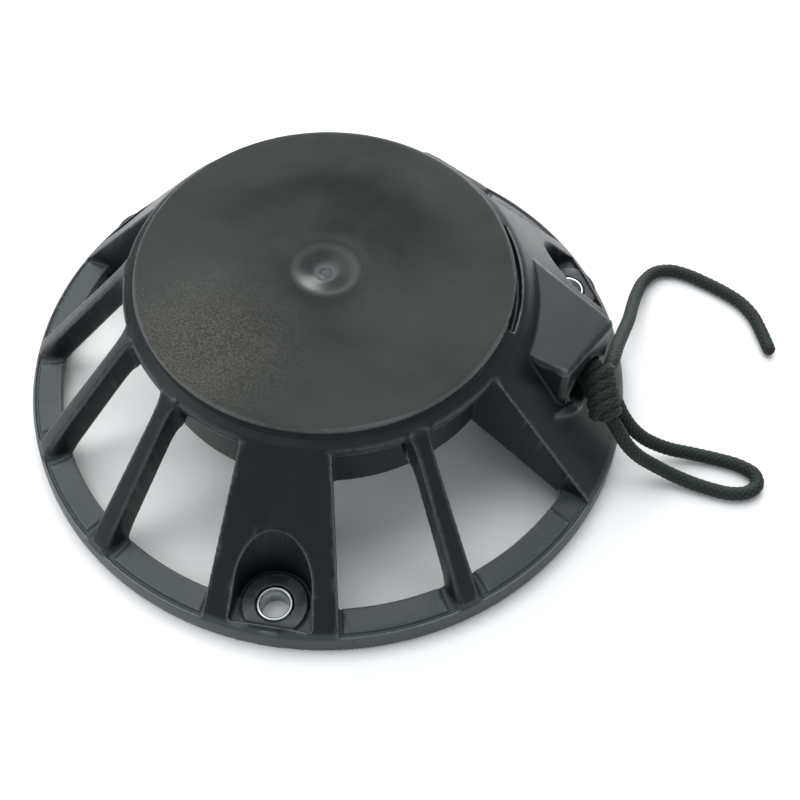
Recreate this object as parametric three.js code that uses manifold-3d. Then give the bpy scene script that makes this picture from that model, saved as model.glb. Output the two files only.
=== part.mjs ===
// Recoil starter for a small engine: a moulded spider housing with a ring and three bolt pads, and inside it
// the rope pulley on its post, the spiral recoil spring in its keeper, and the two pawls that their retainer
// swings out to turn the engine's starter cup. Millimetres, +Z up. The origin is the centre of the ring's
// underside, the plane that bolts to the engine, and one bolt pad lies towards -Y.

import * as THREE from 'three';
import { mergeVertices } from 'three/addons/utils/BufferGeometryUtils.js';
import Module from 'manifold-3d';

const wasm = await Module();
wasm.setup();

// Driving dimensions.

const GAP = 0.3; // between pieces that touch on the real starter

const BODY_HEIGHT = 55;
const DISC_RADIUS = 55; // raised disc on top of the drum
const DISC_STEP = 3.5; // disc top down to the ledge around it
const LEDGE_RADIUS = DISC_RADIUS + 4;
const LEDGE_THICKNESS = 4;
const DRUM_RADIUS = LEDGE_RADIUS - 4.6;
const DRUM_WALL = 3.6;
const DRUM_RIM_HEIGHT = 26; // lower edge of the drum wall
const TOP_THICKNESS = 3.2;

const RING_RADIUS = 95;
const RING_WALL_HEIGHT = 7;
const RING_WALL = 2.8;
const RING_PANEL_THICKNESS = 2.4;
const RING_PANEL_RISE = 0.8; // the panel climbs inwards by this much
const WINDOW_OUTER_RADIUS = RING_RADIUS - 9.7;

const PAD_COUNT = 3;
const FIRST_PAD_AZIMUTH = -90;
const PAD_HALF_ANGLE = 12.2;
const BOLT_CIRCLE_RADIUS = RING_RADIUS - 10;
const BOSS_RADIUS = 9.4;
const BOSS_HEIGHT = 8;
const POCKET_RADIUS = BOSS_RADIUS + 1.6;
const POCKET_FLOOR = 6.4;
const SLEEVE_RADIUS = 5.3;
const SLEEVE_BORE_RADIUS = SLEEVE_RADIUS - 1.1;

const SPOKES_PER_SECTOR = 3;
const SPOKE_PITCH = 24; // degrees
const SPOKE_INNER_WIDTH = 5;
const SPOKE_OUTER_WIDTH = 7.4;
const SPOKE_DEPTH = 11.5; // top face to underside, measured straight down
const FOOT_WIDTH = 10; // where a spoke lands on the ring's panel
const FOOT_HEIGHT = 4;
const FOOT_THICKNESS = 1.67;

const ROPE_RADIUS = 2.2;
const ROPE_HEIGHT = BODY_HEIGHT - 24.5; // height of the groove and of the outlet
const ROPE_AZIMUTH = -39.3; // direction in which the rope leaves
const GROOVE_CLEARANCE = 0.5;
const PULLEY_RADIUS = DRUM_RADIUS - DRUM_WALL - 2.8;
const COIL_INNER_RADIUS = 24.3;
const COIL_OUTER_RADIUS = PULLEY_RADIUS - 2.2;

const OUTLET_TOP = BODY_HEIGHT - DISC_STEP - 5.5;
const OUTLET_INNER_FAR = 28; // azimuths of the box's plan at the drum's wall
const OUTLET_INNER_NEAR = -16;
const OUTLET_SHOULDER_NEAR = -13.5; // azimuths and radii of its two shoulders beside the ledge
const OUTLET_SHOULDER_FAR = 23.5;
const OUTLET_SHOULDER_NEAR_OUT = 2; // beyond the ledge
const OUTLET_SHOULDER_FAR_OUT = 3;
const OUTLET_FACE_AZIMUTH = -29.4; // the way the exit face looks
const OUTLET_FACE_HALF_WIDTH = 12.6;
const OUTLET_LIP_RADIUS = 1.5; // rounded lip on the panel under the exit
const OUTLET_LIP_REACH = 3.5; // beyond the exit face
const OUTLET_LIP_FROM = 4; // to the near side of the rope
const OUTLET_LIP_TO = 16;
const TUNNEL_START = 20; // along the rope, inside the drum
const OUTLET_PANEL_INNER_START = -28; // azimuth of the solid panel's free edge at the drum
const OUTLET_PANEL_OUTER_START = -24; // and at the ring
const OUTLET_FACE_REACH = RING_RADIUS - 28.2; // along the rope from its tangent point to the outlet's face
const OUTLET_RECESS_RADIUS = 7.5;
const OUTLET_RECESS_DEPTH = 6;
const EYELET_BORE_RADIUS = 2.9;
const EYELET_WALL = 1.2;
const EYELET_FLANGE_RADIUS = OUTLET_RECESS_RADIUS - 1.1;
const EYELET_LENGTH = 8;

const FLANGE_THICKNESS = 2;
const PULLEY_DECK = 1.8; // upper flange's extra thickness under the keeper
const PULLEY_HUB_RADIUS = 10.5;
const POST_RADIUS = 7;
const ARBOR_RADIUS = 9; // thicker root of the post, which holds the spring's inner end
const KEEPER_RADIUS = 36;
const KEEPER_WALL = 0.9;
const SPRING_THICKNESS = 0.8;
const SPRING_TURNS = 8;
const KEEPER_HEADROOM = 1; // between the keeper's rim and the ceiling
const SPRING_TANG = 3; // the spring's inner end, held in the post's notch
const SPRING_NOTCH_WIDTH = 2.2;

const DISC_SLOT_FROM = -11; // azimuths between which a slot runs round the disc
const DISC_SLOT_TO = 30;
const DISC_SLOT_INSET = 0.3;
const DISC_SLOT_WIDTH = 1.9;
const DISC_SLOT_DEPTH = 2.6;

const PAWL_PIVOT_RADIUS = 17;
const PAWL_LENGTH = 26;
const PAWL_THICKNESS = 4.4;
const PAWL_PEG_RADIUS = 3;
const PAWL_BOSS_RADIUS = 5.5;
const PAWL_REST_ANGLE = 96; // arm from the pivot's radial line, trailing the rope's turn
const PAWL_SWING = 39;
const PAWL_PIN_REACH = 11;
const PAWL_PIN_RADIUS = 1.8;
const RETAINER_LAG = 30;
const RETAINER_RADIUS = 29.5;
const RETAINER_THICKNESS = 1.6;
const WASHER_THICKNESS = 0.6;
const BRAKE_HEIGHT = 2.8;
const BRAKE_WIRE_RADIUS = 0.5;
const END_WASHER_THICKNESS = 1.2;
const SCREW_RADIUS = 2.6;
const SCREW_LENGTH = 18; // thread inside the post
const SCREW_HEAD_FLATS = 10;

// Heights that follow from them, from the ceiling down to the screw's head.

const LEDGE_HEIGHT = BODY_HEIGHT - DISC_STEP;
const CEILING = BODY_HEIGHT - TOP_THICKNESS;
const CAVITY_RADIUS = DRUM_RADIUS - DRUM_WALL;
const GROOVE_HALF = ROPE_RADIUS + GROOVE_CLEARANCE;
const PULLEY_TOP = ROPE_HEIGHT + GROOVE_HALF + FLANGE_THICKNESS + PULLEY_DECK;
const PULLEY_BOTTOM = ROPE_HEIGHT - GROOVE_HALF - FLANGE_THICKNESS;
const KEEPER_TOP = CEILING - KEEPER_HEADROOM;
const PAWL_TOP = PULLEY_BOTTOM - GAP;
const PAWL_BOTTOM = PAWL_TOP - PAWL_THICKNESS;
const RETAINER_TOP = PAWL_BOTTOM - GAP;
const RETAINER_BOTTOM = RETAINER_TOP - RETAINER_THICKNESS;
const WASHER_BOTTOM = RETAINER_TOP + GAP;
const HUB_BOTTOM = WASHER_BOTTOM + WASHER_THICKNESS + GAP;
const BRAKE_TOP = RETAINER_BOTTOM - GAP;
const POST_END = BRAKE_TOP - BRAKE_HEIGHT;
const END_WASHER_TOP = POST_END - GAP;
const SCREW_SEAT = END_WASHER_TOP - END_WASHER_THICKNESS - GAP;
const WINDING_RADIUS = COIL_OUTER_RADIUS - ROPE_RADIUS;

// Small tools.

const rad = THREE.MathUtils.degToRad;
const polar = (radius, azimuth) => new THREE.Vector2(radius * Math.cos(rad(azimuth)), radius * Math.sin(rad(azimuth)));
const pairs = (list) => list.map(([x, y]) => new THREE.Vector2(x, y));

// A closed geometry as a solid, with its shared vertices merged and its faces pointing out.
function solid(geometry) {
  const bare = geometry.clone();
  for (const name of Object.keys(bare.attributes)) {
    if (name !== 'position') bare.deleteAttribute(name);
  }
  const merged = mergeVertices(bare, 1e-4);
  const corners = merged.index.array;
  const triangles = [];
  for (let i = 0; i < corners.length; i += 3) {
    const [a, b, c] = [corners[i], corners[i + 1], corners[i + 2]];
    if (a !== b && b !== c && c !== a) triangles.push(a, b, c);
  }
  const build = (triVerts) => new wasm.Manifold(new wasm.Mesh({
    numProp: 3,
    vertProperties: new Float32Array(merged.attributes.position.array),
    triVerts: new Uint32Array(triVerts),
  }));
  const made = build(triangles);
  if (made.volume() > 0) return made;
  for (let i = 0; i < triangles.length; i += 3) {
    [triangles[i], triangles[i + 1]] = [triangles[i + 1], triangles[i]];
  }
  return build(triangles);
}

// A closed profile of [radius, height] pairs turned about Z.
function turned(profile, segments = 48) {
  const geometry = new THREE.LatheGeometry(pairs([...profile, profile[0]]), segments);
  return solid(geometry.rotateX(Math.PI / 2));
}

// An outline in the XY plane between two heights.
function prism(outline, bottom, top, curveSegments = 12) {
  const shape = outline instanceof THREE.Shape ? outline : new THREE.Shape(outline);
  const geometry = new THREE.ExtrudeGeometry(shape, { depth: top - bottom, bevelEnabled: false, curveSegments });
  return solid(geometry.translate(0, 0, bottom));
}

// A round bar standing on Z between two heights.
function bar(x, y, bottom, top, radius, segments = 32) {
  const geometry = new THREE.CylinderGeometry(radius, radius, top - bottom, segments);
  return solid(geometry.rotateX(Math.PI / 2).translate(x, y, (bottom + top) / 2));
}

// An upright plate cut to a profile of [radius, height] pairs and turned to an azimuth.
function plate(profile, width, azimuth) {
  const geometry = new THREE.ExtrudeGeometry(new THREE.Shape(pairs(profile)), { depth: width, bevelEnabled: false });
  geometry.translate(0, 0, -width / 2).rotateX(Math.PI / 2).rotateZ(rad(azimuth));
  return solid(geometry);
}

// A round bar along a line.
function rod(from, to, radius, segments = 24) {
  const along = new THREE.Vector3().subVectors(to, from);
  const geometry = new THREE.CylinderGeometry(radius, radius, along.length(), segments);
  const turn = new THREE.Quaternion().setFromUnitVectors(new THREE.Vector3(0, 1, 0), along.clone().normalize());
  geometry.applyQuaternion(turn);
  geometry.translate(...from.clone().add(to).multiplyScalar(0.5).toArray());
  return solid(geometry);
}

// A round section swept along a curve.
function tube(curve, radius, sides, steps) {
  const section = new THREE.Shape();
  section.absarc(0, 0, radius, 0, Math.PI * 2, false);
  return solid(new THREE.ExtrudeGeometry(section, {
    extrudePath: curve, steps, curveSegments: sides, bevelEnabled: false,
  }));
}

const union = (parts) => parts.reduce((whole, part) => whole.add(part));

const part = new THREE.Group();

function add(name, body, material) {
  const made = body.getMesh();
  const geometry = new THREE.BufferGeometry();
  geometry.setAttribute('position', new THREE.BufferAttribute(new Float32Array(made.vertProperties), 3));
  geometry.setIndex(new THREE.BufferAttribute(new Uint32Array(made.triVerts), 1));
  geometry.computeVertexNormals();
  const mesh = new THREE.Mesh(geometry, material);
  mesh.name = name;
  part.add(mesh);
}

const finish = (color, metalness, roughness) => new THREE.MeshStandardMaterial({ color, metalness, roughness });
const blackNylon = () => finish(0x2b2f32, 0, 0.5);
const greyAcetal = () => finish(0x54585a, 0, 0.45);
const zincSteel = () => finish(0xb9bec2, 1, 0.35);
const springSteel = () => finish(0x6d7276, 1, 0.4);
const ropeNylon = () => finish(0x18221f, 0, 0.85);

// The rope's straight run from the point where it leaves the coil, through the outlet.

const ropeWay = polar(1, ROPE_AZIMUTH);
const tangentPoint = polar(WINDING_RADIUS, ROPE_AZIMUTH + 90);
function alongRope(reach) {
  return new THREE.Vector3(tangentPoint.x + reach * ropeWay.x, tangentPoint.y + reach * ropeWay.y, ROPE_HEIGHT);
}

// Housing: drum, ledge, ring, spokes, pads and outlet in one moulding.

const EDGE = 0.7; // chamfer on the housing's outer edges
const HOUSING_SEGMENTS = 80;
const SEAT = 0.4; // webs and spokes join the ledge this far below its top
const RING_TOP_RADIUS = RING_RADIUS - 0.5;
const coneDrop = (LEDGE_HEIGHT - RING_WALL_HEIGHT) / (RING_TOP_RADIUS - LEDGE_RADIUS);
const coneHeight = (radius) => LEDGE_HEIGHT - (radius - LEDGE_RADIUS) * coneDrop;
const wallMiddle = DRUM_RADIUS - DRUM_WALL / 2;
const ringMiddle = RING_RADIUS - RING_WALL / 2;

function drum() {
  const shell = turned([
    [0, BODY_HEIGHT],
    [DISC_RADIUS - EDGE, BODY_HEIGHT],
    [DISC_RADIUS, BODY_HEIGHT - EDGE],
    [DISC_RADIUS, LEDGE_HEIGHT],
    [LEDGE_RADIUS - EDGE, LEDGE_HEIGHT],
    [LEDGE_RADIUS, LEDGE_HEIGHT - EDGE],
    [LEDGE_RADIUS, LEDGE_HEIGHT - LEDGE_THICKNESS],
    [DRUM_RADIUS, LEDGE_HEIGHT - LEDGE_THICKNESS - EDGE],
    [DRUM_RADIUS, DRUM_RIM_HEIGHT],
    [CAVITY_RADIUS, DRUM_RIM_HEIGHT],
    [CAVITY_RADIUS, CEILING],
    [ARBOR_RADIUS, CEILING],
    [ARBOR_RADIUS, PULLEY_TOP + GAP],
    [POST_RADIUS, PULLEY_TOP + GAP],
    [POST_RADIUS, POST_END],
    [0, POST_END],
  ], HOUSING_SEGMENTS);
  const screwHole = bar(0, 0, POST_END - 1, POST_END + SCREW_LENGTH + 1.5, SCREW_RADIUS + GAP, 24);
  return shell.subtract(screwHole);
}

function ring() {
  const panelOuter = RING_RADIUS - RING_WALL + 0.6;
  const panelHeight = RING_WALL_HEIGHT - 0.4;
  return turned([
    [RING_RADIUS, 0],
    [RING_TOP_RADIUS, RING_WALL_HEIGHT],
    [panelOuter, RING_WALL_HEIGHT],
    [panelOuter - 0.4, panelHeight],
    [WINDOW_OUTER_RADIUS, panelHeight + RING_PANEL_RISE],
    [WINDOW_OUTER_RADIUS, panelHeight + RING_PANEL_RISE - RING_PANEL_THICKNESS],
    [RING_RADIUS - RING_WALL, panelHeight - RING_PANEL_THICKNESS],
    [RING_RADIUS - RING_WALL, 0],
  ], HOUSING_SEGMENTS);
}

function spoke(azimuth) {
  const innerTop = LEDGE_HEIGHT - SEAT;
  const plan = prism(pairs([
    [0, -SPOKE_INNER_WIDTH / 2],
    [LEDGE_RADIUS, -SPOKE_INNER_WIDTH / 2],
    [RING_RADIUS, -SPOKE_OUTER_WIDTH / 2],
    [RING_RADIUS, SPOKE_OUTER_WIDTH / 2],
    [LEDGE_RADIUS, SPOKE_INNER_WIDTH / 2],
    [0, SPOKE_INNER_WIDTH / 2],
  ]), -1, BODY_HEIGHT).rotate([0, 0, azimuth]);
  const foot = plate([
    [WINDOW_OUTER_RADIUS, RING_WALL_HEIGHT + FOOT_HEIGHT - FOOT_THICKNESS],
    [WINDOW_OUTER_RADIUS, RING_WALL_HEIGHT + FOOT_HEIGHT],
    [ringMiddle, RING_WALL_HEIGHT - 0.6],
    [ringMiddle, RING_WALL_HEIGHT - FOOT_HEIGHT],
  ], FOOT_WIDTH, azimuth);
  const beam = plate([
    [wallMiddle, innerTop],
    [LEDGE_RADIUS, innerTop],
    [RING_TOP_RADIUS - SEAT / 2, RING_WALL_HEIGHT - SEAT / 2],
    [ringMiddle, 3],
    [WINDOW_OUTER_RADIUS + 2, 3],
    [DRUM_RADIUS, innerTop - SPOKE_DEPTH + (LEDGE_RADIUS - DRUM_RADIUS) * coneDrop],
    [wallMiddle, innerTop - SPOKE_DEPTH + (LEDGE_RADIUS - DRUM_RADIUS) * coneDrop],
  ], SPOKE_OUTER_WIDTH + 1, azimuth);
  return beam.intersect(plan).add(foot);
}

// The cone between the drum's wall and the ring's over a plan outline, solid down to its underside. The
// underside runs straight from the drum's rim to a foot at a given radius.
function web(outline, footRadius, footHeight) {
  const profile = [
    [wallMiddle, LEDGE_HEIGHT - SEAT],
    [LEDGE_RADIUS, LEDGE_HEIGHT - SEAT],
    [RING_TOP_RADIUS - SEAT / 2, RING_WALL_HEIGHT - SEAT / 2],
    [ringMiddle, 0],
    [footRadius, footHeight],
    [wallMiddle, DRUM_RIM_HEIGHT],
  ];
  return turned(profile, HOUSING_SEGMENTS).intersect(prism(outline, -1, BODY_HEIGHT + 1));
}

const BEYOND = RING_RADIUS * 1.3; // a radius outside everything, for the ends of plan outlines

function padWeb(azimuth) {
  const outline = [-1, 0, 1].map((side) => polar(BEYOND, azimuth + side * PAD_HALF_ANGLE));
  return web([new THREE.Vector2(0, 0), ...outline], BOLT_CIRCLE_RADIUS - POCKET_RADIUS, 0);
}

const WEB_SKIN = 3; // thickness of the pads' and the outlet panel's top and side walls

// The solid panel that carries the outlet, from its free edge round to the pad beside it. The inset moves
// its edges in by a wall's thickness.
function panelOutline(inset) {
  const inner = polar(DRUM_RADIUS, OUTLET_PANEL_INNER_START);
  const outer = polar(WINDOW_OUTER_RADIUS, OUTLET_PANEL_OUTER_START);
  const edge = outer.clone().sub(inner);
  const square = new THREE.Vector2(-edge.y, edge.x).normalize().multiplyScalar(inset);
  return [
    inner.clone().addScaledVector(edge, -0.5).add(square),
    outer.clone().addScaledVector(edge, 1).add(square),
    polar(BEYOND, 0),
    polar(BEYOND, outletPad),
    new THREE.Vector2(0, 0),
  ];
}

// What is cored out of a pad from below, so that its walls are of even thickness.
function padCore(azimuth) {
  const inset = THREE.MathUtils.radToDeg(WEB_SKIN / LEDGE_RADIUS);
  const outline = [-1, 0, 1].map((side) => polar(BEYOND, azimuth + side * (PAD_HALF_ANGLE - inset)));
  return hollow([new THREE.Vector2(0, 0), ...outline]);
}

// The space under the cone over a plan outline.
function hollow(outline) {
  const skinDrop = WEB_SKIN * 1.6;
  const profile = [
    [DRUM_RADIUS + WEB_SKIN * 0.6, LEDGE_HEIGHT - LEDGE_THICKNESS - WEB_SKIN],
    [RING_RADIUS - RING_WALL - 0.4, coneHeight(RING_RADIUS - RING_WALL - 0.4) - skinDrop],
    [RING_RADIUS - RING_WALL - 0.4, -1],
    [DRUM_RADIUS + WEB_SKIN * 0.6, -1],
  ];
  return turned(profile, HOUSING_SEGMENTS).intersect(prism(outline, -2, BODY_HEIGHT));
}

const padAzimuths = Array.from({ length: PAD_COUNT }, (_, i) => FIRST_PAD_AZIMUTH + i * 360 / PAD_COUNT);
const outletPad = padAzimuths[1];

// Spokes stand in every sector between two pads, but not where the outlet's panel is.
function spokeAzimuths() {
  const found = [];
  for (const pad of padAzimuths) {
    for (let i = 0; i < SPOKES_PER_SECTOR; i += 1) {
      const azimuth = pad + 180 / PAD_COUNT + (i - (SPOKES_PER_SECTOR - 1) / 2) * SPOKE_PITCH;
      const inPanel = azimuth > OUTLET_PANEL_INNER_START - SPOKE_PITCH / 2 && azimuth < outletPad;
      if (!inPanel) found.push(azimuth);
    }
  }
  return found;
}

// The arched pocket around a bolt boss, open towards the rim.
function pocket(azimuth) {
  const outline = new THREE.Shape();
  const mouth = RING_RADIUS - RING_WALL;
  outline.moveTo(mouth, -POCKET_RADIUS - 1);
  outline.lineTo(mouth, POCKET_RADIUS + 1);
  outline.lineTo(BOLT_CIRCLE_RADIUS, POCKET_RADIUS);
  outline.absarc(BOLT_CIRCLE_RADIUS, 0, POCKET_RADIUS, Math.PI / 2, Math.PI * 1.5, false);
  return prism(outline, POCKET_FLOOR, BODY_HEIGHT, 16).rotate([0, 0, azimuth]);
}

function onBoltCircle(azimuth) {
  return polar(BOLT_CIRCLE_RADIUS, azimuth);
}

function outletBlock() {
  const face = alongRope(OUTLET_FACE_REACH);
  const halfFace = polar(OUTLET_FACE_HALF_WIDTH, OUTLET_FACE_AZIMUTH + 90);
  const outline = [
    polar(wallMiddle, OUTLET_INNER_FAR),
    polar(wallMiddle, 0),
    polar(wallMiddle, OUTLET_INNER_NEAR),
    polar(LEDGE_RADIUS + OUTLET_SHOULDER_NEAR_OUT, OUTLET_SHOULDER_NEAR),
    new THREE.Vector2(face.x - halfFace.x, face.y - halfFace.y),
    new THREE.Vector2(face.x + halfFace.x, face.y + halfFace.y),
    polar(LEDGE_RADIUS + OUTLET_SHOULDER_FAR_OUT, OUTLET_SHOULDER_FAR),
  ];
  return prism(outline, coneHeight(RING_TOP_RADIUS), OUTLET_TOP);
}

// The rounded lip that stands on the panel in front of the exit, on its near side.
function outletLip() {
  const onCone = (aside) => {
    const at = alongRope(OUTLET_FACE_REACH + OUTLET_LIP_REACH);
    const place = new THREE.Vector2(at.x, at.y).addScaledVector(polar(1, ROPE_AZIMUTH - 90), aside);
    return new THREE.Vector3(place.x, place.y, coneHeight(place.length()));
  };
  return rod(onCone(OUTLET_LIP_FROM), onCone(OUTLET_LIP_TO), OUTLET_LIP_RADIUS, 12);
}

function housing() {
  const shell = drum();
  const inside = bar(0, 0, POST_END - 1, CEILING, CAVITY_RADIUS, HOUSING_SEGMENTS)
    .subtract(bar(0, 0, POST_END - 2, CEILING + 1, ARBOR_RADIUS, 48));

  let body = union([
    ring(),
    ...padAzimuths.map(padWeb),
    web(panelOutline(0), WINDOW_OUTER_RADIUS, RING_WALL_HEIGHT - RING_PANEL_THICKNESS),
    ...spokeAzimuths().map(spoke),
    outletBlock(),
    outletLip(),
  ]).subtract(inside).add(shell);

  const cores = [...padAzimuths.map(padCore), hollow(panelOutline(WEB_SKIN))];
  const tunnelStart = alongRope(TUNNEL_START);
  const boxWalls = prism([new THREE.Vector2(-GAP, -GAP), polar(BEYOND, ROPE_AZIMUTH + 5), polar(BEYOND, 4)],
    ROPE_HEIGHT - 2, OUTLET_TOP + 1);
  const tunnelWall = rod(tunnelStart, alongRope(OUTLET_FACE_REACH + 4), OUTLET_RECESS_RADIUS + WEB_SKIN, 32)
    .add(boxWalls.intersect(outletBlock()));
  const pocketWalls = padAzimuths.map((azimuth) => {
    const at = onBoltCircle(azimuth);
    return bar(at.x, at.y, -2, BODY_HEIGHT, POCKET_RADIUS + WEB_SKIN, 40);
  });
  const kept = union([tunnelWall, ...pocketWalls]);
  body = body.subtract(union(cores).subtract(kept));

  for (const azimuth of padAzimuths) {
    const at = onBoltCircle(azimuth);
    body = body.subtract(pocket(azimuth)).add(bar(at.x, at.y, 0, BOSS_HEIGHT, BOSS_RADIUS, 40));
    body = body.subtract(bar(at.x, at.y, -1, BOSS_HEIGHT + 1, SLEEVE_RADIUS + GAP, 32));
  }

  const seat = OUTLET_FACE_REACH - OUTLET_RECESS_DEPTH;
  body = body
    .subtract(rod(alongRope(seat), alongRope(OUTLET_FACE_REACH + 25), OUTLET_RECESS_RADIUS, 32))
    .subtract(rod(tunnelStart, alongRope(seat + 1), EYELET_BORE_RADIUS + EYELET_WALL + GAP, 32));

  const slotArc = turned([
    [DISC_RADIUS + DISC_SLOT_INSET, BODY_HEIGHT],
    [DISC_RADIUS + DISC_SLOT_INSET + DISC_SLOT_WIDTH, BODY_HEIGHT],
    [DISC_RADIUS + DISC_SLOT_INSET + DISC_SLOT_WIDTH, LEDGE_HEIGHT - DISC_SLOT_DEPTH],
    [DISC_RADIUS + DISC_SLOT_INSET, LEDGE_HEIGHT - DISC_SLOT_DEPTH],
  ], HOUSING_SEGMENTS);
  const slotSpan = prism([
    new THREE.Vector2(0, 0),
    polar(BEYOND, DISC_SLOT_FROM),
    polar(BEYOND, (DISC_SLOT_FROM + DISC_SLOT_TO) / 2),
    polar(BEYOND, DISC_SLOT_TO),
  ], 0, BODY_HEIGHT + 1);
  body = body.subtract(slotArc.intersect(slotSpan));

  const notch = prism(pairs([
    [ARBOR_RADIUS - SPRING_TANG - 0.2, -SPRING_NOTCH_WIDTH / 2],
    [ARBOR_RADIUS + 1, -SPRING_NOTCH_WIDTH / 2],
    [ARBOR_RADIUS + 1, SPRING_NOTCH_WIDTH / 2],
    [ARBOR_RADIUS - SPRING_TANG - 0.2, SPRING_NOTCH_WIDTH / 2],
  ]), PULLEY_TOP, KEEPER_TOP);
  return body.subtract(notch);
}

add('housing', housing(), blackNylon());

// Steel sleeves that take the bolts' clamping load in the pads.

padAzimuths.forEach((azimuth, i) => {
  const at = onBoltCircle(azimuth);
  const sleeve = bar(at.x, at.y, 0, BOSS_HEIGHT, SLEEVE_RADIUS, 32)
    .subtract(bar(at.x, at.y, -1, BOSS_HEIGHT + 1, SLEEVE_BORE_RADIUS, 32));
  add(`mount_sleeve_${i + 1}`, sleeve, zincSteel());
});

// Eyelet that the rope runs through, flanged against the outlet's seat.

const eyeletSeat = OUTLET_FACE_REACH - OUTLET_RECESS_DEPTH + GAP;
const eyelet = rod(alongRope(eyeletSeat), alongRope(eyeletSeat + EYELET_WALL), EYELET_FLANGE_RADIUS, 32)
  .add(rod(alongRope(eyeletSeat - EYELET_LENGTH), alongRope(eyeletSeat + 0.1), EYELET_BORE_RADIUS + EYELET_WALL, 32))
  .subtract(rod(alongRope(eyeletSeat - EYELET_LENGTH - 1), alongRope(eyeletSeat + 5), EYELET_BORE_RADIUS, 32));
add('rope_eyelet', eyelet, finish(0x3a3d3f, 1, 0.45));

// Pulley: two flanges on a solid core, with pegs for the pawls and a pocket for the rope's knot underneath.

const pawlAzimuths = [0, 180];
const ANCHOR_AZIMUTH = 90;
const ANCHOR_POCKET_RADIUS = 4.8;
const anchorAt = polar(COIL_INNER_RADIUS - ANCHOR_POCKET_RADIUS - 1, ANCHOR_AZIMUTH);
const SPRING_POCKET_DEPTH = 3;

function pulley() {
  const coreRadius = COIL_INNER_RADIUS - GAP;
  const bore = POST_RADIUS + GAP;
  let body = turned([
    [bore, PULLEY_TOP],
    [PULLEY_RADIUS, PULLEY_TOP - PULLEY_DECK],
    [PULLEY_RADIUS, PULLEY_TOP - PULLEY_DECK - FLANGE_THICKNESS * 0.6],
    [coreRadius, ROPE_HEIGHT + GROOVE_HALF],
    [coreRadius, ROPE_HEIGHT - GROOVE_HALF],
    [PULLEY_RADIUS, PULLEY_BOTTOM + FLANGE_THICKNESS * 0.6],
    [PULLEY_RADIUS, PULLEY_BOTTOM],
    [PULLEY_HUB_RADIUS, PULLEY_BOTTOM],
    [PULLEY_HUB_RADIUS, HUB_BOTTOM],
    [bore, HUB_BOTTOM],
  ]);
  for (const azimuth of pawlAzimuths) {
    const at = polar(PAWL_PIVOT_RADIUS, azimuth);
    body = body
      .subtract(bar(at.x, at.y, PULLEY_BOTTOM - 1, PULLEY_BOTTOM + SPRING_POCKET_DEPTH, PAWL_BOSS_RADIUS, 32))
      .add(bar(at.x, at.y, PAWL_BOTTOM + GAP, PULLEY_BOTTOM + SPRING_POCKET_DEPTH + 0.5, PAWL_PEG_RADIUS, 24));
  }
  const knotTop = ROPE_HEIGHT + ROPE_RADIUS + 2;
  const inward = polar(coreRadius + 2, ANCHOR_AZIMUTH);
  return body
    .subtract(bar(anchorAt.x, anchorAt.y, PULLEY_BOTTOM - 1, knotTop, ANCHOR_POCKET_RADIUS, 32))
    .subtract(rod(new THREE.Vector3(anchorAt.x, anchorAt.y, ROPE_HEIGHT),
      new THREE.Vector3(inward.x, inward.y, ROPE_HEIGHT), ROPE_RADIUS + GAP, 24));
}

add('pulley', pulley(), greyAcetal());

// Rope: the part wound in the groove, the knot that anchors it, and the straight run out through the eyelet.

add('rope_coil', turned([
  [COIL_INNER_RADIUS, ROPE_HEIGHT - ROPE_RADIUS],
  [COIL_OUTER_RADIUS, ROPE_HEIGHT - ROPE_RADIUS],
  [COIL_OUTER_RADIUS, ROPE_HEIGHT + ROPE_RADIUS],
  [COIL_INNER_RADIUS, ROPE_HEIGHT + ROPE_RADIUS],
], 64), ropeNylon());

const anchorKnot = solid(new THREE.SphereGeometry(ANCHOR_POCKET_RADIUS - 0.7, 20, 12)
  .translate(anchorAt.x, anchorAt.y, ROPE_HEIGHT - 0.6));
const anchorStub = rod(new THREE.Vector3(anchorAt.x, anchorAt.y, ROPE_HEIGHT),
  new THREE.Vector3(...polar(COIL_INNER_RADIUS - GAP - 0.4, ANCHOR_AZIMUTH).toArray(), ROPE_HEIGHT), ROPE_RADIUS, 16);
add('rope_anchor_knot', anchorKnot.add(anchorStub), ropeNylon());

// Where the straight run is clear of the coil, and where the outer knot takes over.
const leadStart = Math.sqrt((COIL_OUTER_RADIUS + GAP) ** 2 - (WINDING_RADIUS - ROPE_RADIUS) ** 2) + 0.4;
const KNOT_REACH = OUTLET_FACE_REACH + 6.2;
const KNOT_RADIUS = 4.6;
add('rope_lead', rod(alongRope(leadStart), alongRope(KNOT_REACH - KNOT_RADIUS - GAP), ROPE_RADIUS, 16), ropeNylon());

// Recoil spring: a flat steel strip wound around the post's root inside its keeper, which turns with the pulley.

const keeperBottom = PULLEY_TOP + GAP;
add('spring_keeper', turned([
  [ARBOR_RADIUS + 1.5, keeperBottom],
  [KEEPER_RADIUS, keeperBottom],
  [KEEPER_RADIUS, KEEPER_TOP],
  [KEEPER_RADIUS - KEEPER_WALL, KEEPER_TOP],
  [KEEPER_RADIUS - KEEPER_WALL, keeperBottom + KEEPER_WALL],
  [ARBOR_RADIUS + 1.5, keeperBottom + KEEPER_WALL],
]), zincSteel());

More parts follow.
